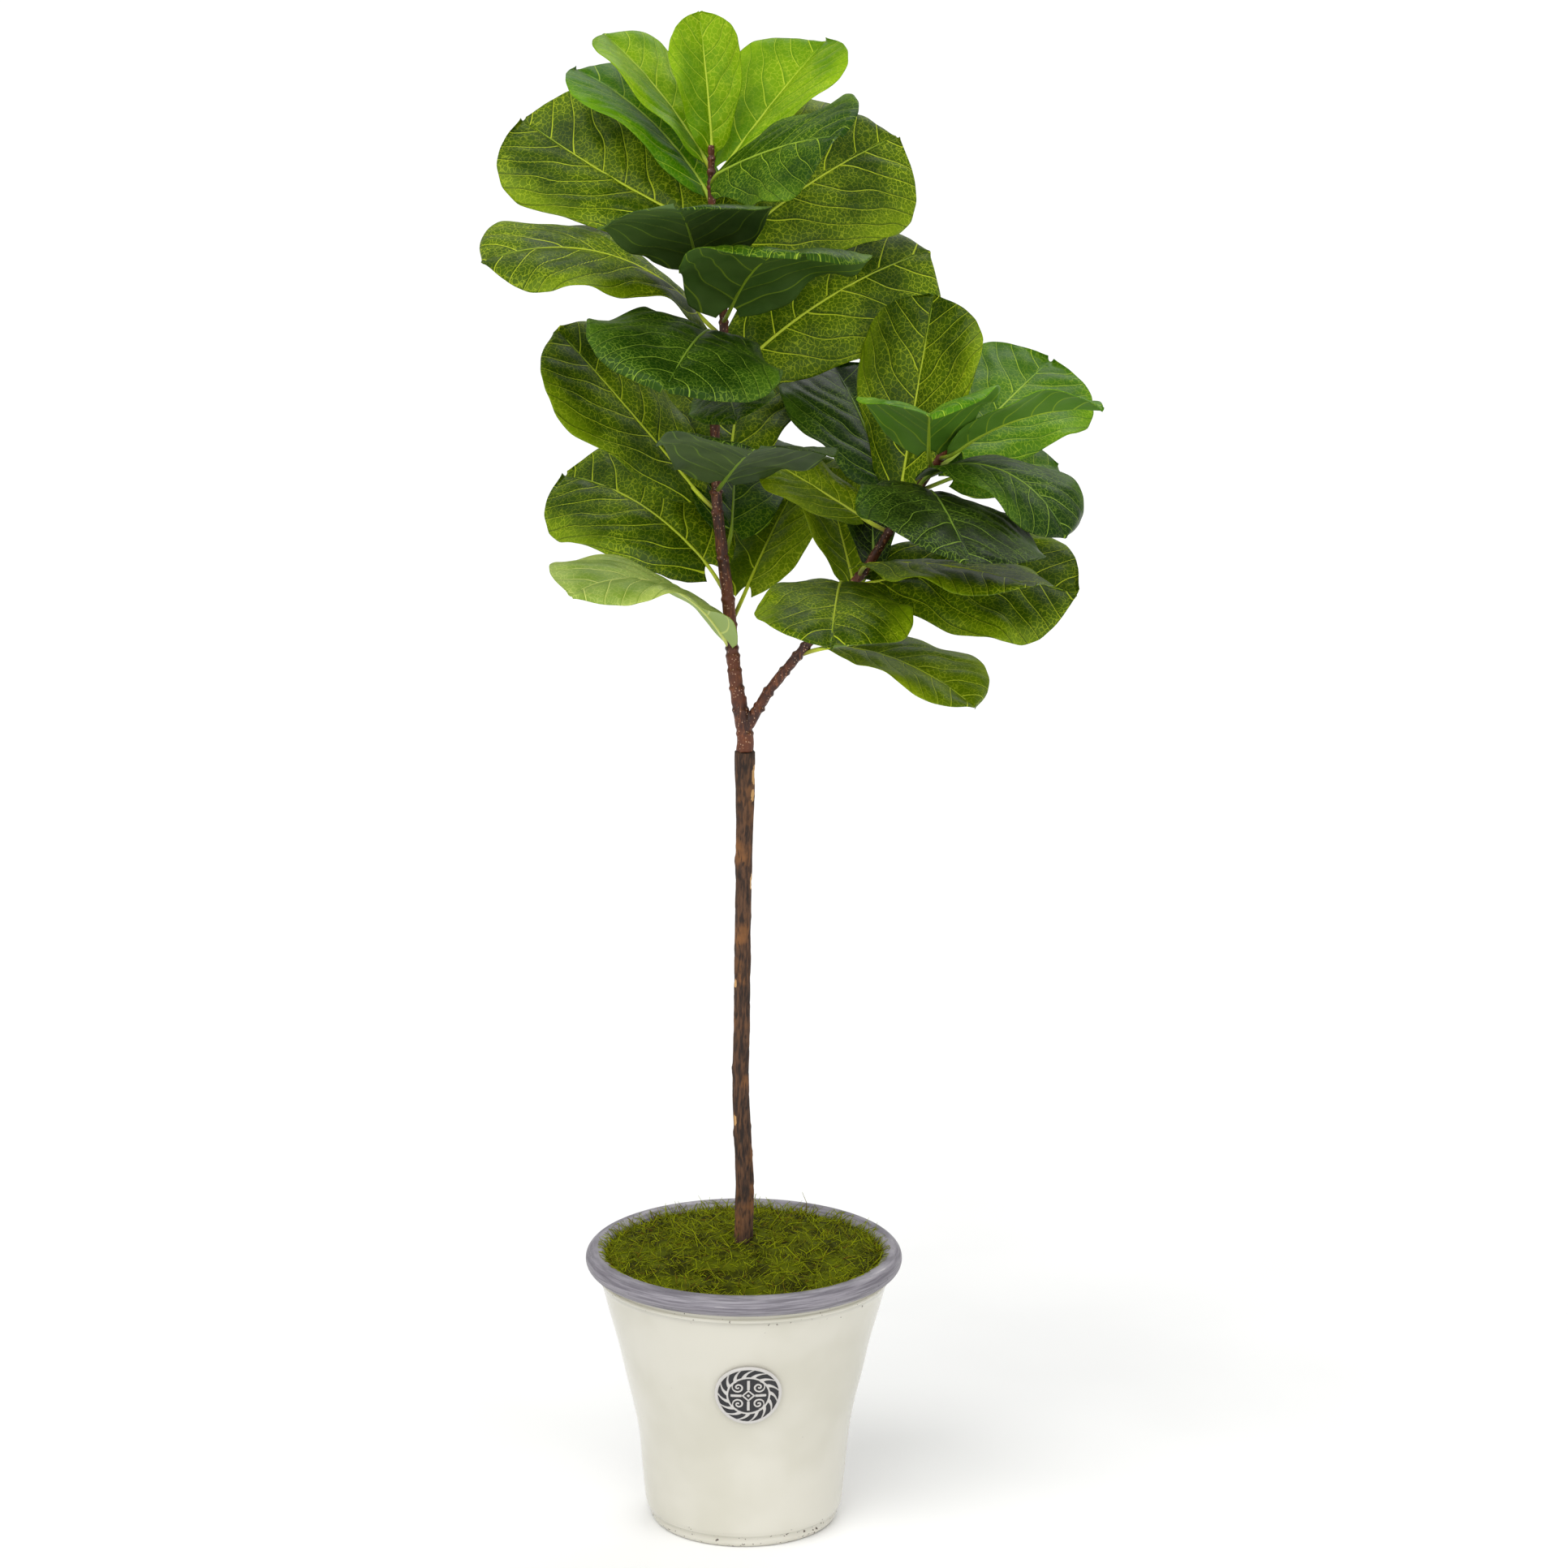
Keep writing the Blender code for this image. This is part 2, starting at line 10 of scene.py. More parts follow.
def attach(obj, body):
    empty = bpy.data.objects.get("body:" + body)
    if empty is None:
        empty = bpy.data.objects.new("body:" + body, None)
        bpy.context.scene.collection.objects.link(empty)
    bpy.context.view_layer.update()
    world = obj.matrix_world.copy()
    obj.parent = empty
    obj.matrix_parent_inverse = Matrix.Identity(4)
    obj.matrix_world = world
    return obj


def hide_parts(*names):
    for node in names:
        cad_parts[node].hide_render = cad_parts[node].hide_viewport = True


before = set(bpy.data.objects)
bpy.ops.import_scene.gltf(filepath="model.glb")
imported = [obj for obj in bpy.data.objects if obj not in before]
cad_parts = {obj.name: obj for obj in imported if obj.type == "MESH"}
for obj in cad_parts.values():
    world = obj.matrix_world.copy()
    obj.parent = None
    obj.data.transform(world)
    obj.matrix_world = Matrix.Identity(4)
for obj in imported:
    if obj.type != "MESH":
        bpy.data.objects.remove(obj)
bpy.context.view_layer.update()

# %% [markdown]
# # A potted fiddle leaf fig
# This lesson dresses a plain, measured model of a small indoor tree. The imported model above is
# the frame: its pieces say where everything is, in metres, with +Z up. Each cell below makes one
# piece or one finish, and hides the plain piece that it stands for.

rng = np.random.default_rng(11)
MM = 0.001


def unit(vector):
    return vector / np.linalg.norm(vector)


def smooth_step(low, high, value):
    share = np.clip((value - low) / (high - low), 0, 1)
    return share * share * (3 - 2 * share)


def new_piece(name, points, faces, materials, face_material=None):
    """A smooth-shaded mesh object that rides on the plant's one body."""
    mesh = bpy.data.meshes.new(name)
    mesh.from_pydata(np.asarray(points, float).tolist(), [], faces)
    mesh.polygons.foreach_set("use_smooth", [True] * len(mesh.polygons))
    for material in materials:
        mesh.materials.append(material)
    if face_material is not None:
        mesh.polygons.foreach_set("material_index", face_material)
    mesh.update()
    piece = bpy.data.objects.new(name, mesh)
    bpy.context.scene.collection.objects.link(piece)
    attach(piece, "root")
    return piece


def set_uv(piece, name, values):
    """Stores one (u, v) pair per point as a UV map."""
    mesh = piece.data
    layer = mesh.uv_layers.new(name=name)
    corners = np.empty(len(mesh.loops), np.int32)
    mesh.loops.foreach_get("vertex_index", corners)
    layer.data.foreach_set("uv", np.asarray(values, np.float32)[corners].ravel())


def grid_faces(rows, columns, closed=False, start=0):
    """Quads of a grid of points. A closed one joins its last column to its first."""
    faces = []
    for row in range(rows - 1):
        for column in range(columns if closed else columns - 1):
            following = (column + 1) % columns
            low, high = start + row * columns, start + (row + 1) * columns
            faces.append((low + column, low + following, high + following, high + column))
    return faces


# %% [markdown]
# ## Materials from nodes
# A material here starts from what the real surface is. Its colours are given as hex values,
# which Blender needs as linear light, and one function adds any kind of node with its settings
# and its links.

# %% Colour and node helpers


def linear(hex_colour):
    """An sRGB hex colour as linear red, green, blue and alpha."""
    channels = [int(hex_colour[start : start + 2], 16) / 255 for start in (1, 3, 5)]
    return [
        channel / 12.92 if channel <= 0.04045 else ((channel + 0.055) / 1.055) ** 2.4
        for channel in channels
    ] + [1.0]


def set_inputs(node, settings):
    """Gives a node its properties and inputs: plain values, hex colours or other nodes' outputs."""
    for name, value in settings.items():
        if isinstance(name, str) and name in node.bl_rna.properties:
            setattr(node, name, value)
        elif isinstance(value, bpy.types.NodeSocket):
            node.id_data.links.new(value, node.inputs[name])
        else:
            node.inputs[name].default_value = linear(value) if isinstance(value, str) else value


def add_node(material, kind, settings=None):
    """Adds one node and returns its outputs. Inputs go by name, or by number where names repeat."""
    node = material.node_tree.nodes.new("ShaderNode" + kind)
    set_inputs(node, settings or {})
    return node.outputs


def new_material(name, roughness, ior):
    """A material with its shader, and add_node tied to it so that it needn't be named each time."""
    material = bpy.data.materials.new(name)
    material.use_nodes = True
    shader = material.node_tree.nodes["Principled BSDF"]
    set_inputs(shader, {"Roughness": roughness, "IOR": ior})
    return material, shader, partial(add_node, material)


# Two settings that come back often. A Mix node then has its factor at 0 and its colours at 6 and
# 7, and gives output 2. A Map Range node has its source at 0, goes from 1 to 2, and gives 3 to 4.
COLOUR = {"data_type": "RGBA"}
SMOOTH = {"interpolation_type": "SMOOTHSTEP"}

# %% [markdown]
# ## The leaves' plan
# A fiddle leaf fig carries big rounded leaves in a loose spiral. Each row below says where one
# leaf leaves its stem and how its blade lies, so one function can grow all of them. The rows
# repeat the measured model's own, because the dressed leaves must fill the same places.

# %% The stems' paths and the leaves' table
LEADER_PATH = (
    (0.001, 0.000, 0.7955, 0.0086),
    (0.001, 0.000, 0.812, 0.0081),
    (-0.006, 0.002, 0.852, 0.0072),
    (-0.011, 0.005, 0.893, 0.0064),
    (-0.015, 0.010, 0.941, 0.0062),
    (-0.021, 0.014, 0.990, 0.0058),
    (-0.026, 0.016, 1.038, 0.0054),
    (-0.027, 0.018, 1.080, 0.0050),
    (-0.028, 0.020, 1.118, 0.0048),
    (-0.026, 0.020, 1.150, 0.0047),
    (-0.020, 0.020, 1.190, 0.0045),
    (-0.020, 0.020, 1.235, 0.0044),
    (-0.025, 0.020, 1.275, 0.0042),
    (-0.030, 0.020, 1.315, 0.0040),
    (-0.031, 0.020, 1.345, 0.0037),
    (-0.031, 0.020, 1.385, 0.0030),
)
BRANCH_PATH = (
    (0.002, 0.000, 0.817, 0.0056),
    (0.023, -0.002, 0.854, 0.0052),
    (0.046, -0.008, 0.885, 0.0050),
    (0.066, -0.014, 0.911, 0.0048),
    (0.101, -0.022, 0.961, 0.0046),
    (0.119, -0.028, 0.985, 0.0045),
    (0.137, -0.034, 1.016, 0.0043),
    (0.166, -0.044, 1.063, 0.0041),
    (0.192, -0.052, 1.102, 0.0038),
    (0.209, -0.060, 1.126, 0.0032),
)
STEMS = {"leader": np.array(LEADER_PATH), "branch": np.array(BRANCH_PATH)}

# heading, rise, roll, fold and sweep are degrees. The base is the blade's, and lengths are metres.
# tone is the leaf's colour set, one of those in TONES below, and it paints the light and shade that
# the leaf stands in.
Leaf = namedtuple(
    "Leaf", "name stem node_z base heading rise tip_rise roll length width fold sweep tone"
)
LEAF_ROWS = (
    # The leader's leaves have names in l, and go from the top down.
    ("l01", 1.372, (-0.031, 0.030, 1.386), 120, 83, 75, 0, 0.125, 0.080, 18, 0, "young"),
    ("l02", 1.360, (-0.041, 0.038, 1.376), 143, 52, 32, 0, 0.160, 0.105, 22, 0, "young"),
    ("l03", 1.325, (-0.040, 0.040, 1.345), 147, 52, 18, -5, 0.180, 0.125, 18, 0, "fresh"),
    ("l04", 1.350, (-0.014, 0.040, 1.368), 46, 42, 34, 5, 0.170, 0.130, 25, 0, "young"),
    ("l05", 1.345, (-0.022, -0.003, 1.362), -45, 25, 8, 40, 0.170, 0.145, 3, -5, "deep"),
    ("l06", 1.290, (-0.053, 0.040, 1.312), 145, 18, 27, -37, 0.215, 0.165, 18, 0, "sunny"),
    ("l07", 1.265, (-0.010, 0.042, 1.288), 37, 33, 15, 43, 0.220, 0.180, 5, 0, "sunny"),
    ("l08", 1.255, (-0.045, -0.012, 1.277), -95, 33, 12, 7, 0.195, 0.165, 12, 0, "dusky_shade"),
    ("l09", 1.215, (-0.012, -0.010, 1.234), -68, 45, 0, -5, 0.200, 0.185, 8, 0, "deep"),
    ("l10", 1.200, (-0.045, 0.018, 1.225), 200, 50, -20, -15, 0.235, 0.175, 7, -5, "sunny"),
    ("l11", 1.150, (0.007, 0.040, 1.178), 33, 35, 10, 42, 0.230, 0.170, 0, 0, "sunny"),
    ("l12", 1.190, (-0.035, -0.028, 1.214), -98, 5, -18, -16, 0.205, 0.190, 15, -5, "dusky_shade"),
    ("l13", 1.145, (-0.020, -0.012, 1.160), -84, 0, -12, 15, 0.130, 0.085, 15, 0, "deep"),
    ("l14", 1.030, (-0.051, 0.028, 1.054), 167, 50, 46, -26, 0.200, 0.153, 9, 0, "sunny"),
    ("l15", 1.050, (-0.013, 0.055, 1.080), 83, 38, 10, -3, 0.212, 0.168, 12, 5, "sunny"),
    ("l16", 1.050, (-0.019, -0.015, 1.066), -79, 24, 12, -6, 0.218, 0.173, 18, -5, "dim"),
    ("l17", 0.985, (-0.012, 0.050, 1.007), 87, 32, 6, 15, 0.200, 0.143, 24, 5, "deep"),
    ("l18", 0.920, (0.004, 0.045, 0.951), 64, 41, 29, -7, 0.185, 0.135, 13, 0, "shaded"),
    ("l19", 0.945, (-0.036, 0.035, 0.974), 140, 40, 0, -28, 0.200, 0.165, 10, 0, "sunny"),
    ("l20", 0.890, (-0.022, 0.000, 0.913), 213, 56, -19, -7, 0.205, 0.150, 14, 9, "pale"),
    # The branch's leaves have names in b.
    ("b01", 0.893, (0.087, -0.031, 0.906), -43, 8, -30, 3, 0.180, 0.115, 20, 5, "shaded"),
    ("b02", 0.950, (0.093, -0.050, 0.974), -94, 5, -20, -4, 0.190, 0.150, 13, 0, "sunny"),
    ("b03", 0.965, (0.124, -0.026, 0.969), -7, 13, -17, 35, 0.200, 0.160, 8, 0, "sunny"),
    ("b04", 0.975, (0.123, -0.050, 0.992), -42, 11, -8, -5, 0.200, 0.160, 7, 0, "sunny"),
    ("b05", 1.050, (0.178, -0.079, 1.068), -87, 8, -22, -15, 0.220, 0.185, 10, 9, "dim"),
    ("b06", 1.063, (0.179, -0.068, 1.083), -39, 30, -61, 0, 0.180, 0.130, 11, 2, "dusky_shade"),
    ("b07", 1.060, (0.200, -0.025, 1.071), 48, 5, -13, 38, 0.165, 0.115, 10, 0, "bright"),
    ("b08", 1.080, (0.207, -0.023, 1.097), 58, 22, 17, 24, 0.190, 0.155, 10, 0, "bright"),
    ("b09", 1.095, (0.204, -0.079, 1.108), -18, 38, -2, -14, 0.150, 0.075, 35, 0, "fresh"),
    ("b10", 1.085, (0.175, -0.084, 1.108), -92, 45, 0, 3, 0.150, 0.140, 28, 0, "fresh"),
    ("b11", 1.045, (0.153, -0.014, 1.068), 55, 74, 72, 0, 0.180, 0.140, 18, 0, "sunny"),
    ("b12", 1.035, (0.136, 0.005, 1.064), 108, 40, 20, 0, 0.175, 0.150, 14, 0, "dusky_shade"),
    ("b13", 1.020, (0.112, -0.016, 1.032), 160, 30, 26, -20, 0.110, 0.085, 12, 0, "shaded"),
    ("b14", 0.950, (0.105, 0.012, 0.965), 115, 60, 52, 10, 0.120, 0.085, 16, 0, "shaded"),
    ("b15", 0.980, (0.126, -0.010, 0.985), 95, 66, 58, 0, 0.070, 0.050, 12, 0, "dim"),
)
LEAVES = [
    Leaf("leaf_" + name, "leader" if name.startswith("l") else "branch", *rest)
    for name, *rest in LEAF_ROWS
]
print("Leaves planned:", len(LEAVES))

# %% [markdown]
# ## One leaf's surface
# A blade is a grid: rows run from its base to its tip along a bending midrib, and columns run
# from edge to edge. The outline is broad near the tip and ends in a small point, and at the base
# two lobes reach back past the stalk. Between the side veins the real blade is puffed up like a
# quilt, and its edge waves, so both are true shape here and not only shading.

# %% The blade grid
OUTLINE = np.array(
    (
        (0.00, 0.12),
        (0.03, 0.34),
        (0.08, 0.50),
        (0.16, 0.60),
        (0.25, 0.68),
        (0.40, 0.85),
        (0.55, 0.97),
        (0.68, 1.00),
        (0.80, 0.93),
        (0.89, 0.76),
        (0.945, 0.54),
        (0.975, 0.32),
        (0.985, 0.14),
        (1.00, 0.03),
    )
)
ROWS = 72
MIDRIB_STEPS = 120
HALF_COLUMNS = 26
EDGE_CURL = radians(-12)
LOBE_REACH = 0.075
VEIN_PAIRS = 6.5
VEIN_SLANT = 0.62
VEIN_CURVE = 1.6
FULLNESS_COUNT = 24
USUAL_WIDTH = 0.16
PUFF_HEIGHT = 1.7 * MM
WAVE_HEIGHT = 0.035
BLISTER_SIZE = 0.022
BLISTER_HEIGHT = 1.3 * MM
BLADE_THICKNESS = 0.6 * MM


def midrib_of(leaf):
    """Even shares along the midrib with points and forward, sideways and upward directions."""
    share = np.linspace(0, 1, MIDRIB_STEPS + 1)
    rise = np.radians(leaf.rise + (leaf.tip_rise - leaf.rise) * share)
    heading = np.radians(leaf.heading + leaf.sweep * share)
    forward = np.stack(
        [np.cos(rise) * np.cos(heading), np.cos(rise) * np.sin(heading), np.sin(rise)], axis=1
    )
    level = np.stack([-np.sin(heading), np.cos(heading), 0 * heading], axis=1)
    upright = np.cross(forward, level)
    roll = radians(leaf.roll)
    side = cos(roll) * level + sin(roll) * upright
    up = cos(roll) * upright - sin(roll) * level
    moves = (forward[1:] + forward[:-1]) / 2 * leaf.length / MIDRIB_STEPS
    points = np.vstack([np.zeros(3), np.cumsum(moves, axis=0)]) + leaf.base
    return share, points, forward, side, up


def pick(share, rows, stations):
    return np.stack([np.interp(stations, share, rows[:, axis]) for axis in range(3)], axis=1)


def blisters(along, across, seed):
    """Uneven swellings a few centimetres wide, which break up the gloss."""
    spots = np.stack(np.broadcast_arrays(along, across), axis=-1) / BLISTER_SIZE
    heights = [noise.noise(Vector((u, v, seed))) for u, v in spots.reshape(-1, 2)]
    return BLISTER_HEIGHT * np.array(heights).reshape(spots.shape[:2])


def blade_surface(leaf, seed):
    """Grid points of the blade, with its plan in metres and its vein coordinates."""
    luck = np.random.default_rng(seed)
    even = np.linspace(0, 1, ROWS + 1)
    stations = 0.35 * even + 0.65 * (1 - np.cos(pi * even)) / 2
    across = np.linspace(-1, 1, 2 * HALF_COLUMNS + 1)[None, :]
    out = np.abs(across)
    share, points, forward, side, up = midrib_of(leaf)
    middle, forward, side, up = (
        pick(share, rows, stations)[:, None] for rows in (points, forward, side, up)
    )
    half_width = np.interp(stations, OUTLINE[:, 0], OUTLINE[:, 1])
    half_width = np.convolve(np.pad(half_width, 1, mode="edge"), [0.25, 0.5, 0.25], "valid")
    half_width = (half_width * leaf.width / 2)[:, None]
    lateral = out * half_width
    along = stations[:, None] * leaf.length
    spacing = leaf.length / VEIN_PAIRS
    stagger = np.where(across > 0, 0.0, luck.uniform(0.3, 0.6))
    lean = VEIN_SLANT * lateral + VEIN_CURVE * lateral**2 / leaf.width
    phase = (along - lean) / spacing + 0.15 + stagger
    drift = luck.uniform(0, 1, 2)
    phase = phase + 0.13 * np.sin(tau * (2.3 * along / leaf.length + drift[0]))
    phase = phase + 0.05 * np.sin(tau * (5.1 * along / leaf.length + drift[1]))
    groove = np.abs(2 * (phase % 1.0) - 1)
    puff_room = smooth_step(0.0, 0.22, out) * smooth_step(1.0, 0.72, out)
    puff_room = puff_room * smooth_step(0.0, 0.10, even)[:, None]
    puff_room = puff_room * smooth_step(1.0, 0.88, even)[:, None]
    fullness = luck.uniform(0.35, 1.3, FULLNESS_COUNT)
    fullness = fullness[np.floor(phase + 4).astype(int) % FULLNESS_COUNT]
    puff = PUFF_HEIGHT * (1 - groove**2.4) * puff_room * fullness * (leaf.width / USUAL_WIDTH)
    waves = np.sin(tau * (luck.uniform(1.6, 2.4) * stations[:, None] + luck.uniform(0, 1, 1)))
    other = np.sin(tau * (luck.uniform(1.6, 2.4) * stations[:, None] + luck.uniform(0, 1, 1)))
    wave = np.where(across > 0, waves, other) * out**3 * WAVE_HEIGHT * leaf.width
    wave = wave * smooth_step(0.0, 0.2, stations)[:, None]
    tilt = radians(leaf.fold) + EDGE_CURL * out
    sideways = lateral * np.cos(tilt) * np.sign(across)
    lift = lateral * np.sin(tilt) + puff + wave + blisters(along, lateral * np.sign(across), seed)
    back = -LOBE_REACH * leaf.length * out**2 * (1 - stations[:, None]) ** 6
    grid = middle + sideways[..., None] * side + lift[..., None] * up + back[..., None] * forward
    plan = np.stack([along + back, lateral * np.sign(across)], axis=-1)
    veins = np.stack([phase, lateral / leaf.width * 2 + 0 * along], axis=-1)
    return grid, plan, veins


# %% [markdown]
# ## Stalk and midrib
# On the real leaf the stalk runs on as the midrib, a pale cord that thins out towards the tip and
# stands proud of the blade on both faces. A tube along the same path gives that, and its end
# stays inside the stem's bark.

# %% The stalk and midrib tube
STALK_RADIUS = 2.0 * MM
MIDRIB_END_RADIUS = 0.45 * MM
STALK_SIDES = 8
STALK_ROWS = 14
MIDRIB_ROWS = 30


def stem_at(stem, height):
    path = STEMS[stem]
    centre = [np.interp(height, path[:, 2], path[:, axis]) for axis in range(3)]
    return np.array(centre), np.interp(height, path[:, 2], path[:, 3])


def stalk_path(leaf):
    """Centre points from the stem's centre to the blade, then along under the midrib."""
    centre, _ = stem_at(leaf.stem, leaf.node_z)
    base = np.array(leaf.base)
    share, points, forward, _, up = midrib_of(leaf)
    bend = base - forward[0] * np.linalg.norm(base - centre) * 0.4
    step = np.linspace(0, 1, STALK_ROWS + 1)[:-1, None]
    stalk = (1 - step) ** 2 * centre + 2 * step * (1 - step) * bend + step**2 * base
    stations = np.linspace(0, 0.93, MIDRIB_ROWS)
    sunk = (STALK_RADIUS * (1 - stations) * 0.12)[:, None]
    rib = pick(share, points, stations) - sunk * pick(share, up, stations)
    radii = np.concatenate(
        [
            np.linspace(1.15, 1.0, STALK_ROWS) * STALK_RADIUS,
            STALK_RADIUS + (MIDRIB_END_RADIUS - STALK_RADIUS) * stations**0.7,
        ]
    )
    return np.vstack([stalk, rib]), radii


def tube_rings(centres, radii, sides, sideways):
    """Rings of points round a path, turned as little as possible from one to the next."""
    directions = np.gradient(centres, axis=0)
    rings = []
    for centre, radius, direction in zip(centres, radii, directions):
        direction = unit(direction)
        sideways = unit(sideways - direction * (sideways @ direction))
        upward = np.cross(direction, sideways)
        turns = np.arange(sides) * tau / sides
        ring = np.cos(turns)[:, None] * sideways + np.sin(turns)[:, None] * upward
        rings.append(centre + radius * ring)
    return np.array(rings)


def tube_faces(rows, sides, start=0):
    faces = grid_faces(rows, sides, closed=True, start=start)
    faces.append(tuple(start + side for side in reversed(range(sides))))
    faces.append(tuple(start + (rows - 1) * sides + side for side in range(sides)))
    return faces


# %% [markdown]
# ## The leaf's finishes
# A fig leaf is thick and waxy. Its upper face is a satin, olive to deep green sheet with pale
# yellow-green side veins and a net of finer ones, and it lightens towards its edge. Its underside
# is paler, greyer and duller. The vein coordinates stored with the grid let the shader draw each
# side vein exactly in the groove between two puffs. How olive or how deep each leaf is comes from
# painted light and shade: its tone is the same green made lighter or darker for the light it gets.

# %% The waxy leaf material
VEIN_HALF_WIDTH = 0.024
NET_CELL = 5.0 * MM
# The tones are painted light and shade: one leaf green made lighter or darker for how lit each leaf
# stands. The sunny, bright and pale ones are painted light and sheen, the young and fresh ones are
# partly young leaf colour and partly painted light, the deep, dusky and dim ones are painted shade,
# and the shaded one is painted lighter for leaves that stand in shade.
TONES = {
    # deep green, lit green, edge green, vein
    "young": ("#548000", "#789E00", "#8AB008", "#BACE34"),
    "fresh": ("#3A6A00", "#508206", "#6FA00E", "#AAC632"),
    "bright": ("#38600A", "#4C7806", "#6C980E", "#A6C232"),
    "sunny": ("#2A4200", "#506A00", "#7F9A08", "#C2D22C"),
    "deep": ("#1C3C00", "#345606", "#5A8010", "#9CB830"),
    "dusky_shade": ("#183204", "#2C4A08", "#486A12", "#8CAA34"),
    "shaded": ("#4A6200", "#6C8404", "#93A812", "#C8D634"),
    "dim": ("#0F1E03", "#1E3207", "#33500F", "#7C9A30"),
    "pale": ("#6E8A28", "#96AE50", "#B0C05C", "#D2DA74"),
}


def leaf_material(tone):
    """Waxy leaf skin: satin gloss, colour clouds, pale veins and a fine raised net."""
    deep, lit, edge, vein = TONES[tone]
    material, shader, add = new_material("waxy_fig_leaf_" + tone, 0.36, 1.45)
    # The skin's fine unevenness scatters much of the shine, so less of it is left to mirror.
    set_inputs(shader, {"Specular IOR Level": 0.14})
    plan = add("UVMap", {"uv_map": "plan"})[0]
    veins = add("UVMap", {"uv_map": "veins"})[0]
    phase, out, _ = add("SeparateXYZ", {0: veins})
    cloud = add("TexNoise", {"Scale": 14.0, "Detail": 3.0, "Roughness": 0.55, "Vector": plan})[0]
    base = add(
        "Mix",
        {**COLOUR, 0: add("MapRange", {**SMOOTH, 0: cloud, 1: 0.34, 2: 0.66})[0], 6: deep, 7: lit},
    )[2]
    rim = add("MapRange", {**SMOOTH, 0: out, 1: 0.55, 2: 1.05, 3: 0.0, 4: 0.75})[0]
    base = add("Mix", {**COLOUR, 0: rim, 6: base, 7: edge})[2]
    # A net of tiny veins: real cells are 2 to 3 mm, drawn coarser here so that they show.
    wobble = add("TexNoise", {"Scale": 130.0, "Detail": 2.0, "Vector": plan})
    shifted = add("Mix", {"data_type": "VECTOR", 0: 0.006, 4: plan, 5: wobble[1]})[1]
    net = add(
        "TexVoronoi", {"feature": "DISTANCE_TO_EDGE", "Scale": 1 / NET_CELL, "Vector": shifted}
    )[0]
    net_line = add("MapRange", {**SMOOTH, 0: net, 1: 0.015, 2: 0.085, 3: 1.0, 4: 0.0})[0]
    shown = add("MapRange", {**SMOOTH, 0: cloud, 1: 0.4, 2: 0.62, 3: 0.15, 4: 0.45})[0]
    base = add(
        "Mix",
        {
            **COLOUR,
            0: add("Math", {"operation": "MULTIPLY", 0: net_line, 1: shown})[0],
            6: base,
            7: vein,
        },
    )[2]
    # Side veins lie where the phase is a whole number.
    turned = add("Math", {"operation": "FRACT", 0: phase})[0]
    distance = add("Math", {"operation": "PINGPONG", 0: phase, 1: 0.5})[0]
    wide = add("Math", {"operation": "MULTIPLY", 0: out, 1: -VEIN_HALF_WIDTH * 0.7})[0]
    wide = add("Math", {"operation": "ADD", 0: wide, 1: VEIN_HALF_WIDTH})[0]
    closeness = add("Math", {"operation": "DIVIDE", 0: distance, 1: wide})[0]
    line = add("MapRange", {**SMOOTH, 0: closeness, 1: 0.6, 2: 1.3, 3: 1.0, 4: 0.0})[0]
    fade = add("MapRange", {**SMOOTH, 0: out, 1: 0.75, 2: 1.0, 3: 1.0, 4: 0.15})[0]
    line = add("Math", {"operation": "MULTIPLY", 0: line, 1: fade})[0]
    # The hollow beside each side vein is darkened towards the deep green, as painted shade.
    crease_shade = add("MapRange", {**SMOOTH, 0: turned, 1: 0.02, 2: 0.18, 3: 0.7, 4: 0.0})[0]
    base = add("Mix", {**COLOUR, 0: crease_shade, 6: base, 7: deep})[2]
    base = add(
        "Mix",
        {
            **COLOUR,
            0: add("Math", {"operation": "MULTIPLY", 0: line, 1: 0.85})[0],
            6: base,
            7: vein,
        },
    )[2]
    set_inputs(shader, {"Base Color": base})
    relief = add("Math", {"operation": "MULTIPLY", 0: net_line, 1: 0.25})[0]
    relief = add("Math", {"operation": "ADD", 0: relief, 1: line})[0]
    bump = add("Bump", {"Strength": 0.35, "Distance": 0.6 * MM, "Height": relief})[0]
    set_inputs(shader, {"Normal": bump})
    rough = add("MapRange", {**SMOOTH, 0: cloud, 1: 0.3, 2: 0.7, 3: 0.33, 4: 0.46})[0]
    set_inputs(shader, {"Roughness": rough})
    return material


def underside_material(tone):
    """The dull, paler back of a leaf, with the same veins standing out."""
    _, lit, _, vein = TONES[tone]
    material, shader, add = new_material("leaf_back_" + tone, 0.58, 1.42)
    veins = add("UVMap", {"uv_map": "veins"})[0]
    split = add("SeparateXYZ", {0: veins})
    plan = add("UVMap", {"uv_map": "plan"})[0]
    cloud = add("TexNoise", {"Scale": 18.0, "Detail": 3.0, "Vector": plan})[0]
    pale = add("Mix", {**COLOUR, 0: 0.22, 6: lit, 7: "#7F9A58"})[2]
    darker = add("Mix", {**COLOUR, 0: 0.18, 6: lit, 7: "#5E7A48"})[2]
    base = add(
        "Mix",
        {
            **COLOUR,
            0: add("MapRange", {**SMOOTH, 0: cloud, 1: 0.35, 2: 0.65})[0],
            6: darker,
            7: pale,
        },
    )[2]
    distance = add("Math", {"operation": "PINGPONG", 0: split[0], 1: 0.5})[0]
    line = add("MapRange", {**SMOOTH, 0: distance, 1: 0.018, 2: 0.045, 3: 0.8, 4: 0.0})[0]
    base = add(
        "Mix", {**COLOUR, 0: line, 6: base, 7: add("Mix", {**COLOUR, 0: 0.3, 6: vein, 7: lit})[2]}
    )[2]
    set_inputs(shader, {"Base Color": base})
    return material


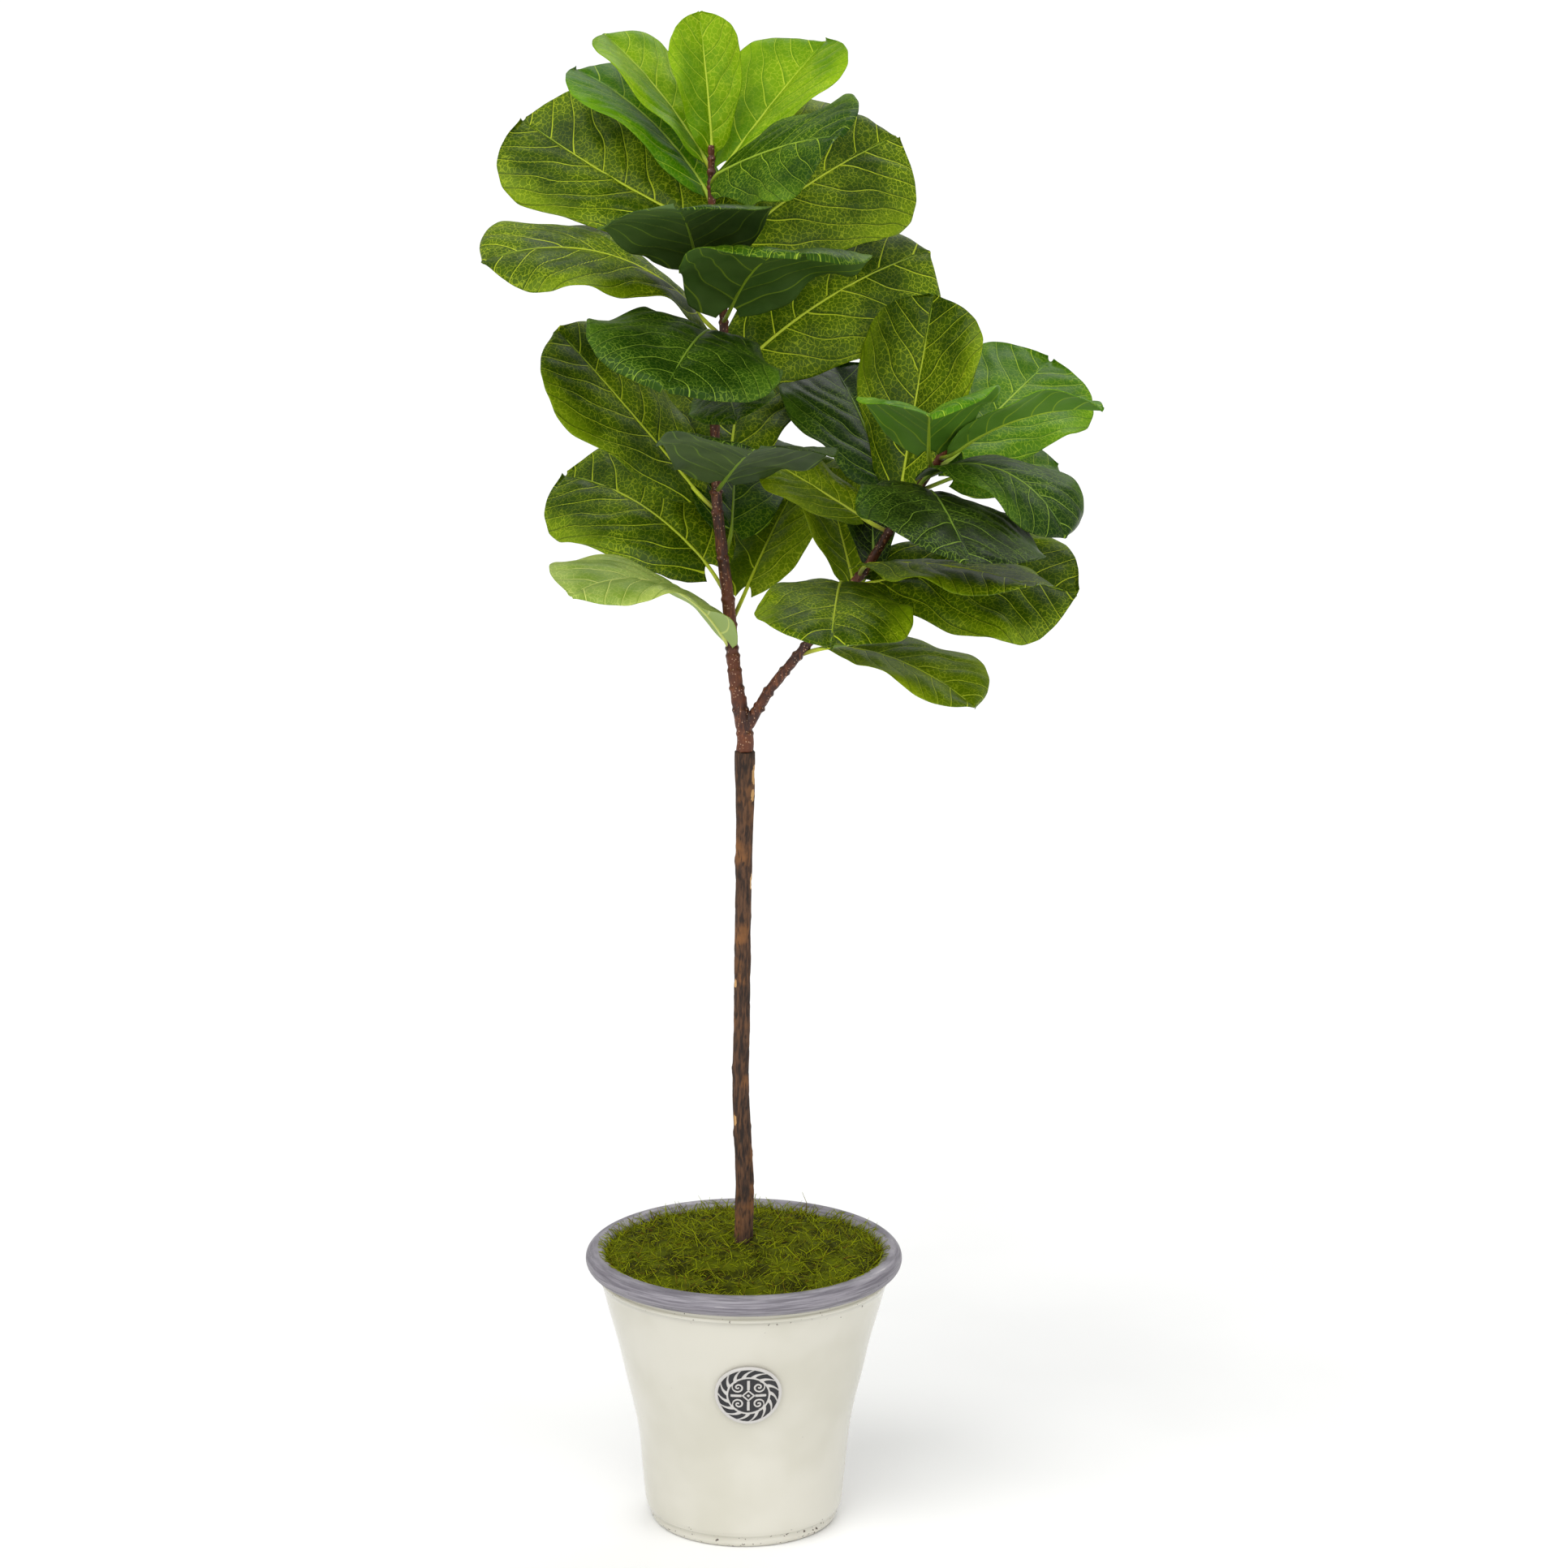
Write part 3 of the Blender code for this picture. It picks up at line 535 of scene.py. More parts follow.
def midrib_material(tone):
    """The fleshy stalk and midrib: pale, moist and smooth, browner where it joins the bark."""
    material, shader, add = new_material("fleshy_midrib_" + tone, 0.42, 1.42)
    vein = TONES[tone][3]
    veins = add("UVMap", {"uv_map": "veins"})[0]
    along = add("SeparateXYZ", {0: veins})[0]
    brown = add("MapRange", {**SMOOTH, 0: along, 1: 0.0, 2: 0.22, 3: 1.0, 4: 0.0})[0]
    green = add(
        "Mix",
        {
            **COLOUR,
            0: add("MapRange", {**SMOOTH, 0: along, 1: 0.75, 2: 1.0})[0],
            6: vein,
            7: TONES[tone][2],
        },
    )[2]
    base = add(
        "Mix",
        {
            **COLOUR,
            0: add("Math", {"operation": "MULTIPLY", 0: brown, 1: 0.8})[0],
            6: green,
            7: "#5B3A22",
        },
    )[2]
    streak = add("TexNoise", {"Scale": 160.0, "Detail": 2.0})[0]
    base = add(
        "Mix",
        {
            **COLOUR,
            0: add("MapRange", {**SMOOTH, 0: streak, 1: 0.4, 2: 0.7, 3: 0.0, 4: 0.25})[0],
            6: base,
            7: TONES[tone][1],
        },
    )[2]
    set_inputs(shader, {"Base Color": base})
    return material


# One set of leaf materials for each tone of painted light and shade.
leaf_materials_by_light = {
    tone: (leaf_material(tone), underside_material(tone), midrib_material(tone)) for tone in TONES
}
print("Leaf finishes:", ", ".join(TONES))

# %% [markdown]
# ## Growing all the leaves
# Each leaf becomes one object: the blade's grid, thickened a little so that it has a back, and
# the stalk with its midrib. The back gets its own finish.

# %% The leaves


def thick_blade(grid, plan, veins, up):
    """The blade's top, its back just below it, and the narrow edge that joins them."""
    rows, columns = grid.shape[:2]
    normals = np.cross(np.gradient(grid, axis=0), np.gradient(grid, axis=1))
    normals /= np.maximum(np.linalg.norm(normals, axis=2, keepdims=True), 1e-12)
    if (normals[rows // 2, columns // 2] @ up) < 0:
        normals = -normals
    back = grid - BLADE_THICKNESS * normals
    count = rows * columns
    top_faces = [tuple(reversed(face)) for face in grid_faces(rows, columns)]
    back_faces = grid_faces(rows, columns, start=count)
    border = (
        [(0, c) for c in range(columns)]
        + [(r, columns - 1) for r in range(1, rows)]
        + [(rows - 1, c) for c in reversed(range(columns - 1))]
        + [(r, 0) for r in reversed(range(1, rows - 1))]
    )
    ring = [r * columns + c for r, c in border]
    edge_faces = [
        (a, b, b + count, a + count) for a, b in zip(ring, ring[1:] + ring[:1])
    ]
    points = np.concatenate([grid.reshape(-1, 3), back.reshape(-1, 3)])
    both_plan = np.tile(plan.reshape(-1, 2), (2, 1))
    both_veins = np.tile(veins.reshape(-1, 2), (2, 1))
    material_index = [0] * len(top_faces) + [1] * len(back_faces) + [0] * len(edge_faces)
    return points, top_faces + back_faces + edge_faces, both_plan, both_veins, material_index


def grow_leaf(leaf, seed):
    grid, plan, veins = blade_surface(leaf, seed)
    _, _, _, side, up = midrib_of(leaf)
    points, faces, plans, vein_uv, materials = thick_blade(grid, plan, veins, up[MIDRIB_STEPS // 2])
    centres, radii = stalk_path(leaf)
    rings = tube_rings(centres, radii, STALK_SIDES, side[0])
    start = len(points)
    tube = tube_faces(len(rings), STALK_SIDES, start)
    along = np.repeat(np.linspace(0, 1, len(rings)), STALK_SIDES)
    tube_uv = np.stack([along, 0 * along], axis=1)
    piece = new_piece(
        leaf.name.replace("leaf_", "fig_leaf_"),
        np.concatenate([points, rings.reshape(-1, 3)]),
        faces + tube,
        leaf_materials_by_light[leaf.tone],
        materials + [2] * len(tube),
    )
    set_uv(piece, "plan", np.concatenate([plans, tube_uv]))
    set_uv(piece, "veins", np.concatenate([vein_uv, tube_uv]))
    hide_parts(leaf.name)
    return piece


leaf_pieces = [grow_leaf(leaf, 100 + index) for index, leaf in enumerate(LEAVES)]
print("Leaves grown:", len(leaf_pieces), "with", len(leaf_pieces[0].data.polygons), "faces each")

# %% [markdown]
# ## The crown's stems
# The crown is one forked stem with reddish brown, slightly waxy bark. Every place where a leaf
# grows, or once grew, is ringed by a rough collar. Two tubes would show a seam at the fork, so
# they are remeshed into one skin first, and the collars and the grain are then pushed out of it.

# %% The crown's bark


def crown_bark_material():
    """Young bark: warm red-brown, speckled with pale pores, with a dull waxy shine."""
    material, shader, add = new_material("waxy_young_bark", 0.50, 1.45)
    place = add("TexCoord")["Object"]
    # Fibres run up the stem 1 to 2 mm apart, so the pattern is stretched along it.
    stretched = add("Mapping", {"Scale": (1, 1, 0.22), "Vector": place})
    fibre = add(
        "TexNoise", {"Scale": 420.0, "Detail": 4.0, "Roughness": 0.6, "Vector": stretched[0]}
    )[0]
    patch = add("TexNoise", {"Scale": 45.0, "Detail": 3.0, "Vector": place})[0]
    base = add(
        "Mix",
        {
            **COLOUR,
            0: add("MapRange", {**SMOOTH, 0: patch, 1: 0.35, 2: 0.68})[0],
            6: "#34180F",
            7: "#62331D",
        },
    )[2]
    base = add(
        "Mix",
        {
            **COLOUR,
            0: add("MapRange", {**SMOOTH, 0: fibre, 1: 0.5, 2: 0.72, 3: 0.0, 4: 0.8})[0],
            6: base,
            7: "#8A5230",
        },
    )[2]
    pores = add("TexVoronoi", {"Scale": 330.0, "Vector": place})
    speck = add("MapRange", {**SMOOTH, 0: pores[0], 1: 0.13, 2: 0.25, 3: 0.85, 4: 0.0})[0]
    base = add("Mix", {**COLOUR, 0: speck, 6: base, 7: "#C29A7C"})[2]
    set_inputs(shader, {"Base Color": base})
    bump = add("Bump", {"Strength": 0.6, "Distance": 0.5 * MM, "Height": fibre})
    set_inputs(shader, {"Normal": bump[0]})
    set_inputs(
        shader,
        {"Roughness": add("MapRange", {**SMOOTH, 0: patch, 1: 0.3, 2: 0.7, 3: 0.42, 4: 0.62})[0]},
    )
    return material


# %% Smooth curves through the given points


def smooth_path(points, steps):
    """A Catmull-Rom curve through the points, with this many steps between neighbours."""
    points = np.asarray(points, float)
    padded = np.vstack([2 * points[0] - points[1], points, 2 * points[-1] - points[-2]])
    share = np.linspace(0, 1, steps, endpoint=False)[:, None]
    runs = []
    for before, here, after, beyond in zip(padded, padded[1:], padded[2:], padded[3:]):
        runs.append(
            0.5
            * (
                2 * here
                + (after - before) * share
                + (2 * before - 5 * here + 4 * after - beyond) * share**2
                + (3 * here - before - 3 * after + beyond) * share**3
            )
        )
    return np.vstack(runs + [points[-1:]])


# %% The crown's stems
CROWN_VOXEL = 1.1 * MM
COLLAR_HEIGHT = 0.9 * MM
COLLAR_WIDTH = 2.0 * MM
BARK_GRAIN = 0.45 * MM
BARE_STEM_TOP = 0.90
CROWN_SIDES = 20
SCAR_SPACING = 21 * MM


def remeshed(name, points, faces, voxel):
    """The points and faces of one closed skin around the given tubes."""
    mesh = bpy.data.meshes.new(name)
    mesh.from_pydata(points.tolist(), [], faces)
    guide = bpy.data.objects.new(name, mesh)
    bpy.context.scene.collection.objects.link(guide)
    remesh = guide.modifiers.new("One skin", "REMESH")
    remesh.mode = "VOXEL"
    remesh.voxel_size = voxel
    graph = bpy.context.evaluated_depsgraph_get()
    skin = bpy.data.meshes.new_from_object(guide.evaluated_get(graph))
    bpy.data.objects.remove(guide, do_unlink=True)
    return skin


def collar_heights():
    """Where leaves grow, and where leaves once grew on the bare lower stems."""
    heights = []
    for stem, path in STEMS.items():
        heights += [(stem, leaf.node_z) for leaf in LEAVES if leaf.stem == stem]
        scars = np.arange(path[0, 2] + 0.02, BARE_STEM_TOP, SCAR_SPACING)
        heights += [(stem, height + rng.uniform(-0.003, 0.003)) for height in scars]
    return heights


def make_crown():
    points, faces = [], []
    for path in STEMS.values():
        curve = smooth_path(path, 10)
        rings = tube_rings(curve[:, :3], curve[:, 3], CROWN_SIDES, np.array([0.0, 1.0, 0.0]))
        faces += tube_faces(len(rings), CROWN_SIDES, start=len(points))
        points += rings.reshape(-1, 3).tolist()
    skin = remeshed("crown_skin", np.array(points), faces, CROWN_VOXEL)
    count = len(skin.vertices)
    place, normal = np.empty(count * 3), np.empty(count * 3)
    skin.vertices.foreach_get("co", place)
    skin.vertices.foreach_get("normal", normal)
    place, normal = place.reshape(-1, 3), normal.reshape(-1, 3)
    swell = np.zeros(count)
    for stem, height in collar_heights():
        centre, radius = stem_at(stem, height)
        near = np.linalg.norm(place - centre, axis=1) < 3.2 * radius
        along = (STEMS[stem][-1, :3] - STEMS[stem][0, :3]) @ (place - centre).T
        along = along / np.linalg.norm(STEMS[stem][-1, :3] - STEMS[stem][0, :3])
        ridge = np.exp(-((along / COLLAR_WIDTH) ** 2)) - 0.45 * np.exp(
            -(((along - 1.8 * COLLAR_WIDTH) / COLLAR_WIDTH) ** 2)
        )
        swell += np.where(near, ridge * COLLAR_HEIGHT, 0)
    for index, spot in enumerate(place):
        grain = noise.noise(Vector((spot[0] / 0.0032, spot[1] / 0.0032, spot[2] / 0.013)))
        lump = noise.noise(Vector(spot) / 0.011)
        swell[index] += BARK_GRAIN * (grain + 0.8 * lump)
    place = place + normal * swell[:, None]
    faces = [tuple(face.vertices) for face in skin.polygons]
    piece = new_piece("forked_crown_stem", place, faces, [crown_bark_material()])
    bpy.data.meshes.remove(skin)
    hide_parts("crown_stem")
    print("Crown stem:", len(faces), "faces")


make_crown()

# %% [markdown]
# ## The trunk
# The trunk is a cut wooden pole that still wears its bark: dark, split lengthways into narrow
# ridges, with knots where twigs were trimmed, and a few pale places where the bark has flaked
# away. A tube with many rings has enough points to carry all of that as real relief.

# %% The trunk's bark


def old_bark_material():
    """Dry outer bark: dark brown ridges, ochre patches, painted shade in the splits, bare cream wood
    where it flaked.
    """
    material, shader, add = new_material("dry_outer_bark", 0.78, 1.45)
    marks = add("UVMap", {"uv_map": "marks"})[0]
    height, flake, _ = add("SeparateXYZ", {0: marks})
    place = add("TexCoord")["Object"]
    stretched = add("Mapping", {"Scale": (1, 1, 0.16), "Vector": place})
    fibre = add(
        "TexNoise", {"Scale": 300.0, "Detail": 5.0, "Roughness": 0.65, "Vector": stretched[0]}
    )[0]
    patch = add("TexNoise", {"Scale": 26.0, "Detail": 4.0, "Vector": place})[0]
    base = add(
        "Mix",
        {
            **COLOUR,
            0: add("MapRange", {**SMOOTH, 0: fibre, 1: 0.36, 2: 0.62})[0],
            6: "#271810",
            7: "#5A3D28",
        },
    )[2]
    base = add(
        "Mix",
        {
            **COLOUR,
            0: add("MapRange", {**SMOOTH, 0: patch, 1: 0.5, 2: 0.68, 3: 0.0, 4: 0.7})[0],
            6: base,
            7: "#8A5A2E",
        },
    )[2]
    # The splits are darkened towards near-black: painted shade in the grooves.
    base = add(
        "Mix",
        {
            **COLOUR,
            0: add("MapRange", {**SMOOTH, 0: height, 1: 0.25, 2: 0.75, 3: 0.75, 4: 0.0})[0],
            6: base,
            7: "#1E1510",
        },
    )[2]
    base = add(
        "Mix",
        {
            **COLOUR,
            0: add("MapRange", {**SMOOTH, 0: flake, 1: 0.3, 2: 0.7})[0],
            6: base,
            7: "#C79A62",
        },
    )[2]
    set_inputs(shader, {"Base Color": base})
    bump = add("Bump", {"Strength": 0.7, "Distance": 0.6 * MM, "Height": fibre})
    set_inputs(shader, {"Normal": bump[0]})
    return material


# %% The trunk
TRUNK_PATH = (
    (0.000, 0.000, 0.030, 0.0092),
    (0.000, 0.000, 0.200, 0.0094),
    (0.000, 0.000, 0.300, 0.0096),
    (0.001, 0.000, 0.345, 0.0092),
    (-0.001, 0.001, 0.395, 0.0088),
    (-0.003, 0.001, 0.450, 0.0084),
    (-0.002, 0.000, 0.530, 0.0082),
    (-0.001, -0.001, 0.610, 0.0080),
    (0.000, -0.001, 0.680, 0.0082),
    (0.001, 0.000, 0.740, 0.0090),
    (0.001, 0.000, 0.780, 0.0101),
    (0.001, 0.000, 0.795, 0.0103),
)
TRUNK_SIDES = 40
TRUNK_ROWS = 380
SPLIT_DEPTH = 1.1 * MM
KNOT_COUNT = 16
# (height, half height, direction, half width) of the flaked places, in metres and degrees
FLAKES = (
    (0.772, 0.010, -15, 26),
    (0.752, 0.007, -28, 20),
    (0.664, 0.009, -12, 22),
    (0.560, 0.005, 200, 24),
    (0.418, 0.006, -150, 20),
)


def make_trunk():
    curve = smooth_path(TRUNK_PATH, 12)
    heights = np.linspace(TRUNK_PATH[0][2], TRUNK_PATH[-1][2], TRUNK_ROWS)
    x, y, radius = (np.interp(heights, curve[:, 2], curve[:, column]) for column in (0, 1, 3))
    turns = np.arange(TRUNK_SIDES) * tau / TRUNK_SIDES
    knots = [
        (rng.uniform(0.31, 0.77), rng.uniform(0, tau), rng.uniform(0.003, 0.0055))
        for _ in range(KNOT_COUNT)
    ]
    points = np.empty((TRUNK_ROWS, TRUNK_SIDES, 3))
    marks = np.zeros((TRUNK_ROWS, TRUNK_SIDES, 2))
    for row, height in enumerate(heights):
        for side, turn in enumerate(turns):
            around = Vector((cos(turn), sin(turn), 0))
            ridge = noise.noise(Vector((around.x * 3.4, around.y * 3.4, height / 0.024)))
            fine = noise.noise(Vector((around.x * 9.0, around.y * 9.0, height / 0.012)))
            relief = 1 - min(1.0, abs(ridge) * 3.2 + abs(fine) * 0.8)
            shift = -SPLIT_DEPTH * relief**2
            shift += 0.0007 * noise.noise(Vector((around.x, around.y, height / 0.03)) * 1.3)
            for knot_height, knot_turn, size in knots:
                away = (turn - knot_turn + pi) % tau - pi
                gap = ((height - knot_height) / size) ** 2 + (away * radius[row] / size) ** 2
                if gap < 4:
                    shift += 0.32 * size * np.exp(-gap * 1.3) - 0.30 * size * np.exp(-gap * 9)
            flake = 0.0
            for flake_height, half, direction, width in FLAKES:
                away = (turn - radians(direction) + pi) % tau - pi
                gap = ((height - flake_height) / half) ** 2 + (away / radians(width)) ** 2
                gap += 0.5 * noise.noise(Vector((turn * 4, height / 0.002, 1)))
                flake = max(flake, float(smooth_step(1.15, 0.8, gap)))
            shift -= 0.0006 * flake
            marks[row, side] = (1 - relief, flake)
            points[row, side] = (
                x[row] + (radius[row] + shift) * around.x,
                y[row] + (radius[row] + shift) * around.y,
                height,
            )
    faces = tube_faces(TRUNK_ROWS, TRUNK_SIDES)
    piece = new_piece("bark_trunk", points.reshape(-1, 3), faces, [old_bark_material()])
    set_uv(piece, "marks", marks.reshape(-1, 2))
    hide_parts("trunk")
    print("Trunk:", len(faces), "faces,", KNOT_COUNT, "knots")


make_trunk()

# %% [markdown]
# ## The pot
# The pot is thrown stoneware: a flared wall with a foot ring, a thin bead and a thick rolled rim.
# It is turned from a profile, like clay on a wheel. A cream gloss glaze covers it, and the rim is
# brushed over with a matt grey-violet paint that lets some cream through.

# %% The glazed stoneware


def glaze_material():
    """Cream gloss glaze with faint clouds and small chips, and a brushed matt rim."""
    material, shader, add = new_material("cream_gloss_glaze", 0.12, 1.52)
    place = add("TexCoord")["Object"]
    height = add("SeparateXYZ", {0: place})[2]
    cloud = add("TexNoise", {"Scale": 9.0, "Detail": 3.0, "Vector": place})[0]
    base = add(
        "Mix",
        {
            **COLOUR,
            0: add("MapRange", {**SMOOTH, 0: cloud, 1: 0.35, 2: 0.65})[0],
            6: "#C6C3B5",
            7: "#CFCCC0",
        },
    )[2]
    # Chips are 1 to 2 mm, and they gather at the foot and just below the rim.
    chip_noise = add("TexNoise", {"Scale": 260.0, "Detail": 2.0, "Vector": place})[0]
    near_foot = add("MapRange", {**SMOOTH, 0: height, 1: 0.004, 2: 0.03, 3: 1.0, 4: 0.0})[0]
    near_rim = add("MapRange", {**SMOOTH, 0: height, 1: 0.235, 2: 0.262, 3: 0.0, 4: 0.8})[0]
    zone = add("Math", {"operation": "ADD", 0: near_foot, 1: near_rim})[0]
    chance = add("Math", {"operation": "MULTIPLY", 0: zone, 1: 0.16})[0]
    level = add("Math", {"operation": "ADD", 0: chip_noise, 1: chance})[0]
    chip = add("MapRange", {**SMOOTH, 0: level, 1: 0.8, 2: 0.83})[0]
    base = add("Mix", {**COLOUR, 0: chip, 6: base, 7: "#5B5148"})[2]
    # The brush leaves streaks round the rim, about 2 mm wide and some centimetres long.
    streaked = add("Mapping", {"Scale": (1, 1, 28.0), "Vector": place})
    streak = add(
        "TexNoise", {"Scale": 20.0, "Detail": 4.0, "Roughness": 0.6, "Vector": streaked[0]}
    )[0]
    violet = add(
        "Mix",
        {
            **COLOUR,
            0: add("MapRange", {**SMOOTH, 0: streak, 1: 0.34, 2: 0.66})[0],
            6: "#66626A",
            7: "#8F8B92",
        },
    )[2]
    violet = add(
        "Mix",
        {
            **COLOUR,
            0: add("MapRange", {**SMOOTH, 0: streak, 1: 0.66, 2: 0.72, 3: 0.0, 4: 0.6})[0],
            6: violet,
            7: "#C9C4C4",
        },
    )[2]
    edge = add("Math", {"operation": "MULTIPLY", 0: streak, 1: 0.004})[0]
    edge = add("Math", {"operation": "ADD", 0: height, 1: edge})[0]
    painted = add("MapRange", {**SMOOTH, 0: edge, 1: PAINT_EDGE, 2: PAINT_EDGE + 0.0012})[0]
    base = add("Mix", {**COLOUR, 0: painted, 6: base, 7: violet})[2]
    set_inputs(shader, {"Base Color": base})
    rough = add("Math", {"operation": "MULTIPLY", 0: painted, 1: 0.38})[0]
    rough = add("Math", {"operation": "ADD", 0: rough, 1: 0.1})[0]
    rough = add(
        "Math",
        {
            "operation": "ADD",
            0: rough,
            1: add("Math", {"operation": "MULTIPLY", 0: chip, 1: 0.5})[0],
        },
    )[0]
    set_inputs(shader, {"Roughness": rough})
    relief = add(
        "Math",
        {
            "operation": "MULTIPLY",
            0: add("Math", {"operation": "MULTIPLY", 0: streak, 1: painted})[0],
            1: 1.0,
        },
    )[0]
    relief = add("Math", {"operation": "SUBTRACT", 0: relief, 1: chip})[0]
    bump = add("Bump", {"Strength": 0.4, "Distance": 0.5 * MM, "Height": relief})
    set_inputs(shader, {"Normal": bump[0]})
    return material


# %% The pot's turned shape
POT_SIDES = 160
POT_WALL = 0.011
POT_FLOOR = 0.014
ROLL_RADIUS = 0.0105
ROLL_CENTRE = (0.148, 0.2745)
BEAD_RADIUS = 0.1465
BEAD_HEIGHT = 0.2575
FOOT_RADIUS = 0.091
GROOVE_RADIUS = 0.0935
FOOT_HEIGHT = 0.009
PAINT_EDGE = 0.2665
WALL = (
    (0.1425, 0.248),
    (0.1375, 0.228),
    (0.1280, 0.193),
    (0.1200, 0.158),
    (0.1120, 0.124),
    (0.1060, 0.089),
    (0.1030, 0.055),
    (0.1000, 0.022),
    (0.0975, 0.013),
)
wall_curve = smooth_path(WALL, 8)


def wall_radius(height):
    return float(np.interp(height, wall_curve[::-1, 1], wall_curve[::-1, 0]))


def arc(centre, radius, start, end, steps):
    turns = np.linspace(start, end, steps)
    return [(centre[0] + radius * cos(turn), centre[1] + radius * sin(turn)) for turn in turns]


def pot_profile():
    """(radius, height) from the middle of the floor, up inside, over the roll and down outside."""
    inside = [(0.0005, POT_FLOOR), (0.04, POT_FLOOR)]
    heights = np.linspace(POT_FLOOR, 0.245, 24)
    inside += [(wall_radius(height) - POT_WALL, height) for height in heights]
    roll = arc(ROLL_CENTRE, ROLL_RADIUS, pi + 0.5, -pi / 2 - 0.3, 34)
    bead = arc((BEAD_RADIUS - 0.0022, BEAD_HEIGHT - 0.0005), 0.0022, 1.5, -1.7, 12)
    foot = [
        (GROOVE_RADIUS + 0.0012, FOOT_HEIGHT + 0.0022),
        (GROOVE_RADIUS, FOOT_HEIGHT + 0.0008),
        (GROOVE_RADIUS, FOOT_HEIGHT - 0.0008),
        (FOOT_RADIUS + 0.0030, FOOT_HEIGHT - 0.0022),
        (FOOT_RADIUS + 0.0035, FOOT_HEIGHT - 0.0040),
        (FOOT_RADIUS + 0.0020, 0.0020),
        (FOOT_RADIUS, 0.0),
        (FOOT_RADIUS - 0.006, 0.0),
        (0.0005, 0.0),
    ]
    return inside + roll + bead + [tuple(point) for point in wall_curve] + foot


def make_pot():
    profile = pot_profile()
    points = []
    for radius, height in profile:
        for side in range(POT_SIDES):
            turn = side * tau / POT_SIDES
            # Hand-thrown clay is never quite true.
            hand = noise.noise(Vector((cos(turn), sin(turn), height / 0.05)) * 0.9)
            true = radius + 0.0005 * hand * min(radius / 0.1, 1.0)
            points.append((true * cos(turn), true * sin(turn), height))
    faces = [tuple(reversed(face)) for face in tube_faces(len(profile), POT_SIDES)]
    piece = new_piece("glazed_pot", points, faces, [glaze_material()])
    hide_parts("pot")
    print("Pot:", len(profile), "rings of", POT_SIDES)


make_pot()

# %% [markdown]
# ## The badge
# A round relief badge is pressed onto the front before firing. Dark glaze runs into its hollows
# and is wiped off its high places, which makes the pattern readable. Its pattern here is a plain
# one: a ring of slanted waves, and inside it a diamond, four petals and four scrolls. A dense
# disc carries the relief, and the height itself, kept as a UV value, tells the shader where the
# dark stays.

# %% The badge
BADGE_RADIUS = 0.0325
BADGE_HEIGHT = 0.174
BADGE_THICKNESS = 0.0042
BADGE_BACK = 0.0009
BADGE_TURN = radians(2.0)
BADGE_RINGS = 84
BADGE_SECTORS = 300
RELIEF = 0.0016
WAVES = 15
FIELD_SHARE = 0.62


def band(value, centre, half_width, soft=0.35):
    """1 within half a width of the centre, and falling to 0 just outside."""
    return smooth_step(half_width * (1 + soft), half_width * (1 - soft), np.abs(value - centre))


def scroll(x, y, centre_x, centre_y, size, hand):
    """A spiral line that winds out from its centre for about one turn and a half."""
    across, along = (x - centre_x) * hand, y - centre_y
    distance = np.hypot(across, along) / size
    turn = np.arctan2(along, across) / tau
    line = np.abs((distance * 1.6 - turn) % 1.0 - 0.5)
    return smooth_step(0.30, 0.16, line) * smooth_step(1.05, 0.9, distance)


def badge_relief(share, turn):
    """Height from 0 to 1 over the badge. share is 0 at the middle and 1 at the edge."""
    x, y = share * np.cos(turn), share * np.sin(turn)
    rim = smooth_step(0.885, 0.915, share)
    ring = band(share, FIELD_SHARE, 0.028)
    # Each wave is a tooth that leans over as it rises from the inner ring to the rim.
    climb = np.clip((share - FIELD_SHARE) / (0.90 - FIELD_SHARE), 0, 1)
    lean = (turn / tau * WAVES + 0.75 * climb**1.5) % 1.0
    tooth = smooth_step(0.0, 0.08, lean)
    tooth = tooth * smooth_step(0.62 - 0.38 * climb, 0.50 - 0.38 * climb, lean)
    tooth = tooth * (share > FIELD_SHARE) * (share < 0.90)
    fold_x, fold_y = np.abs(x), np.abs(y)
    diamond = band(fold_x + fold_y, 0.17, 0.035) + smooth_step(0.07, 0.04, fold_x + fold_y)
    scrolls = scroll(fold_x, fold_y, 0.30, 0.29, 0.19, 1)
    petals = smooth_step(0.055, 0.03, fold_x) * smooth_step(0.55, 0.50, fold_y) * (fold_y > 0.20)
    petals = petals + smooth_step(0.055, 0.03, fold_y) * smooth_step(0.55, 0.50, fold_x) * (
        fold_x > 0.20
    )
    field = np.clip(diamond + scrolls + petals, 0, 1) * (share < FIELD_SHARE)
    return np.clip(rim + ring + tooth + field, 0, 1)


def badge_glaze_material():
    """Off-white glaze on the relief, and near-black glaze pooled in its hollows."""
    material, shader, add = new_material("wiped_relief_glaze", 0.22, 1.52)
    relief = add("UVMap", {"uv_map": "relief"})[0]
    height = add("SeparateXYZ", {0: relief})[0]
    place = add("TexCoord")["Object"]
    smudge = add("TexNoise", {"Scale": 420.0, "Detail": 3.0, "Vector": place})[0]
    level = add(
        "Math",
        {
            "operation": "ADD",
            0: height,
            1: add("Math", {"operation": "MULTIPLY", 0: smudge, 1: 0.5})[0],
        },
    )[0]
    base = add(
        "Mix",
        {
            **COLOUR,
            0: add("MapRange", {**SMOOTH, 0: level, 1: 0.42, 2: 0.95})[0],
            6: "#1B1B20",
            7: "#C2BFBB",
        },
    )[2]
    set_inputs(shader, {"Base Color": base})
    return material


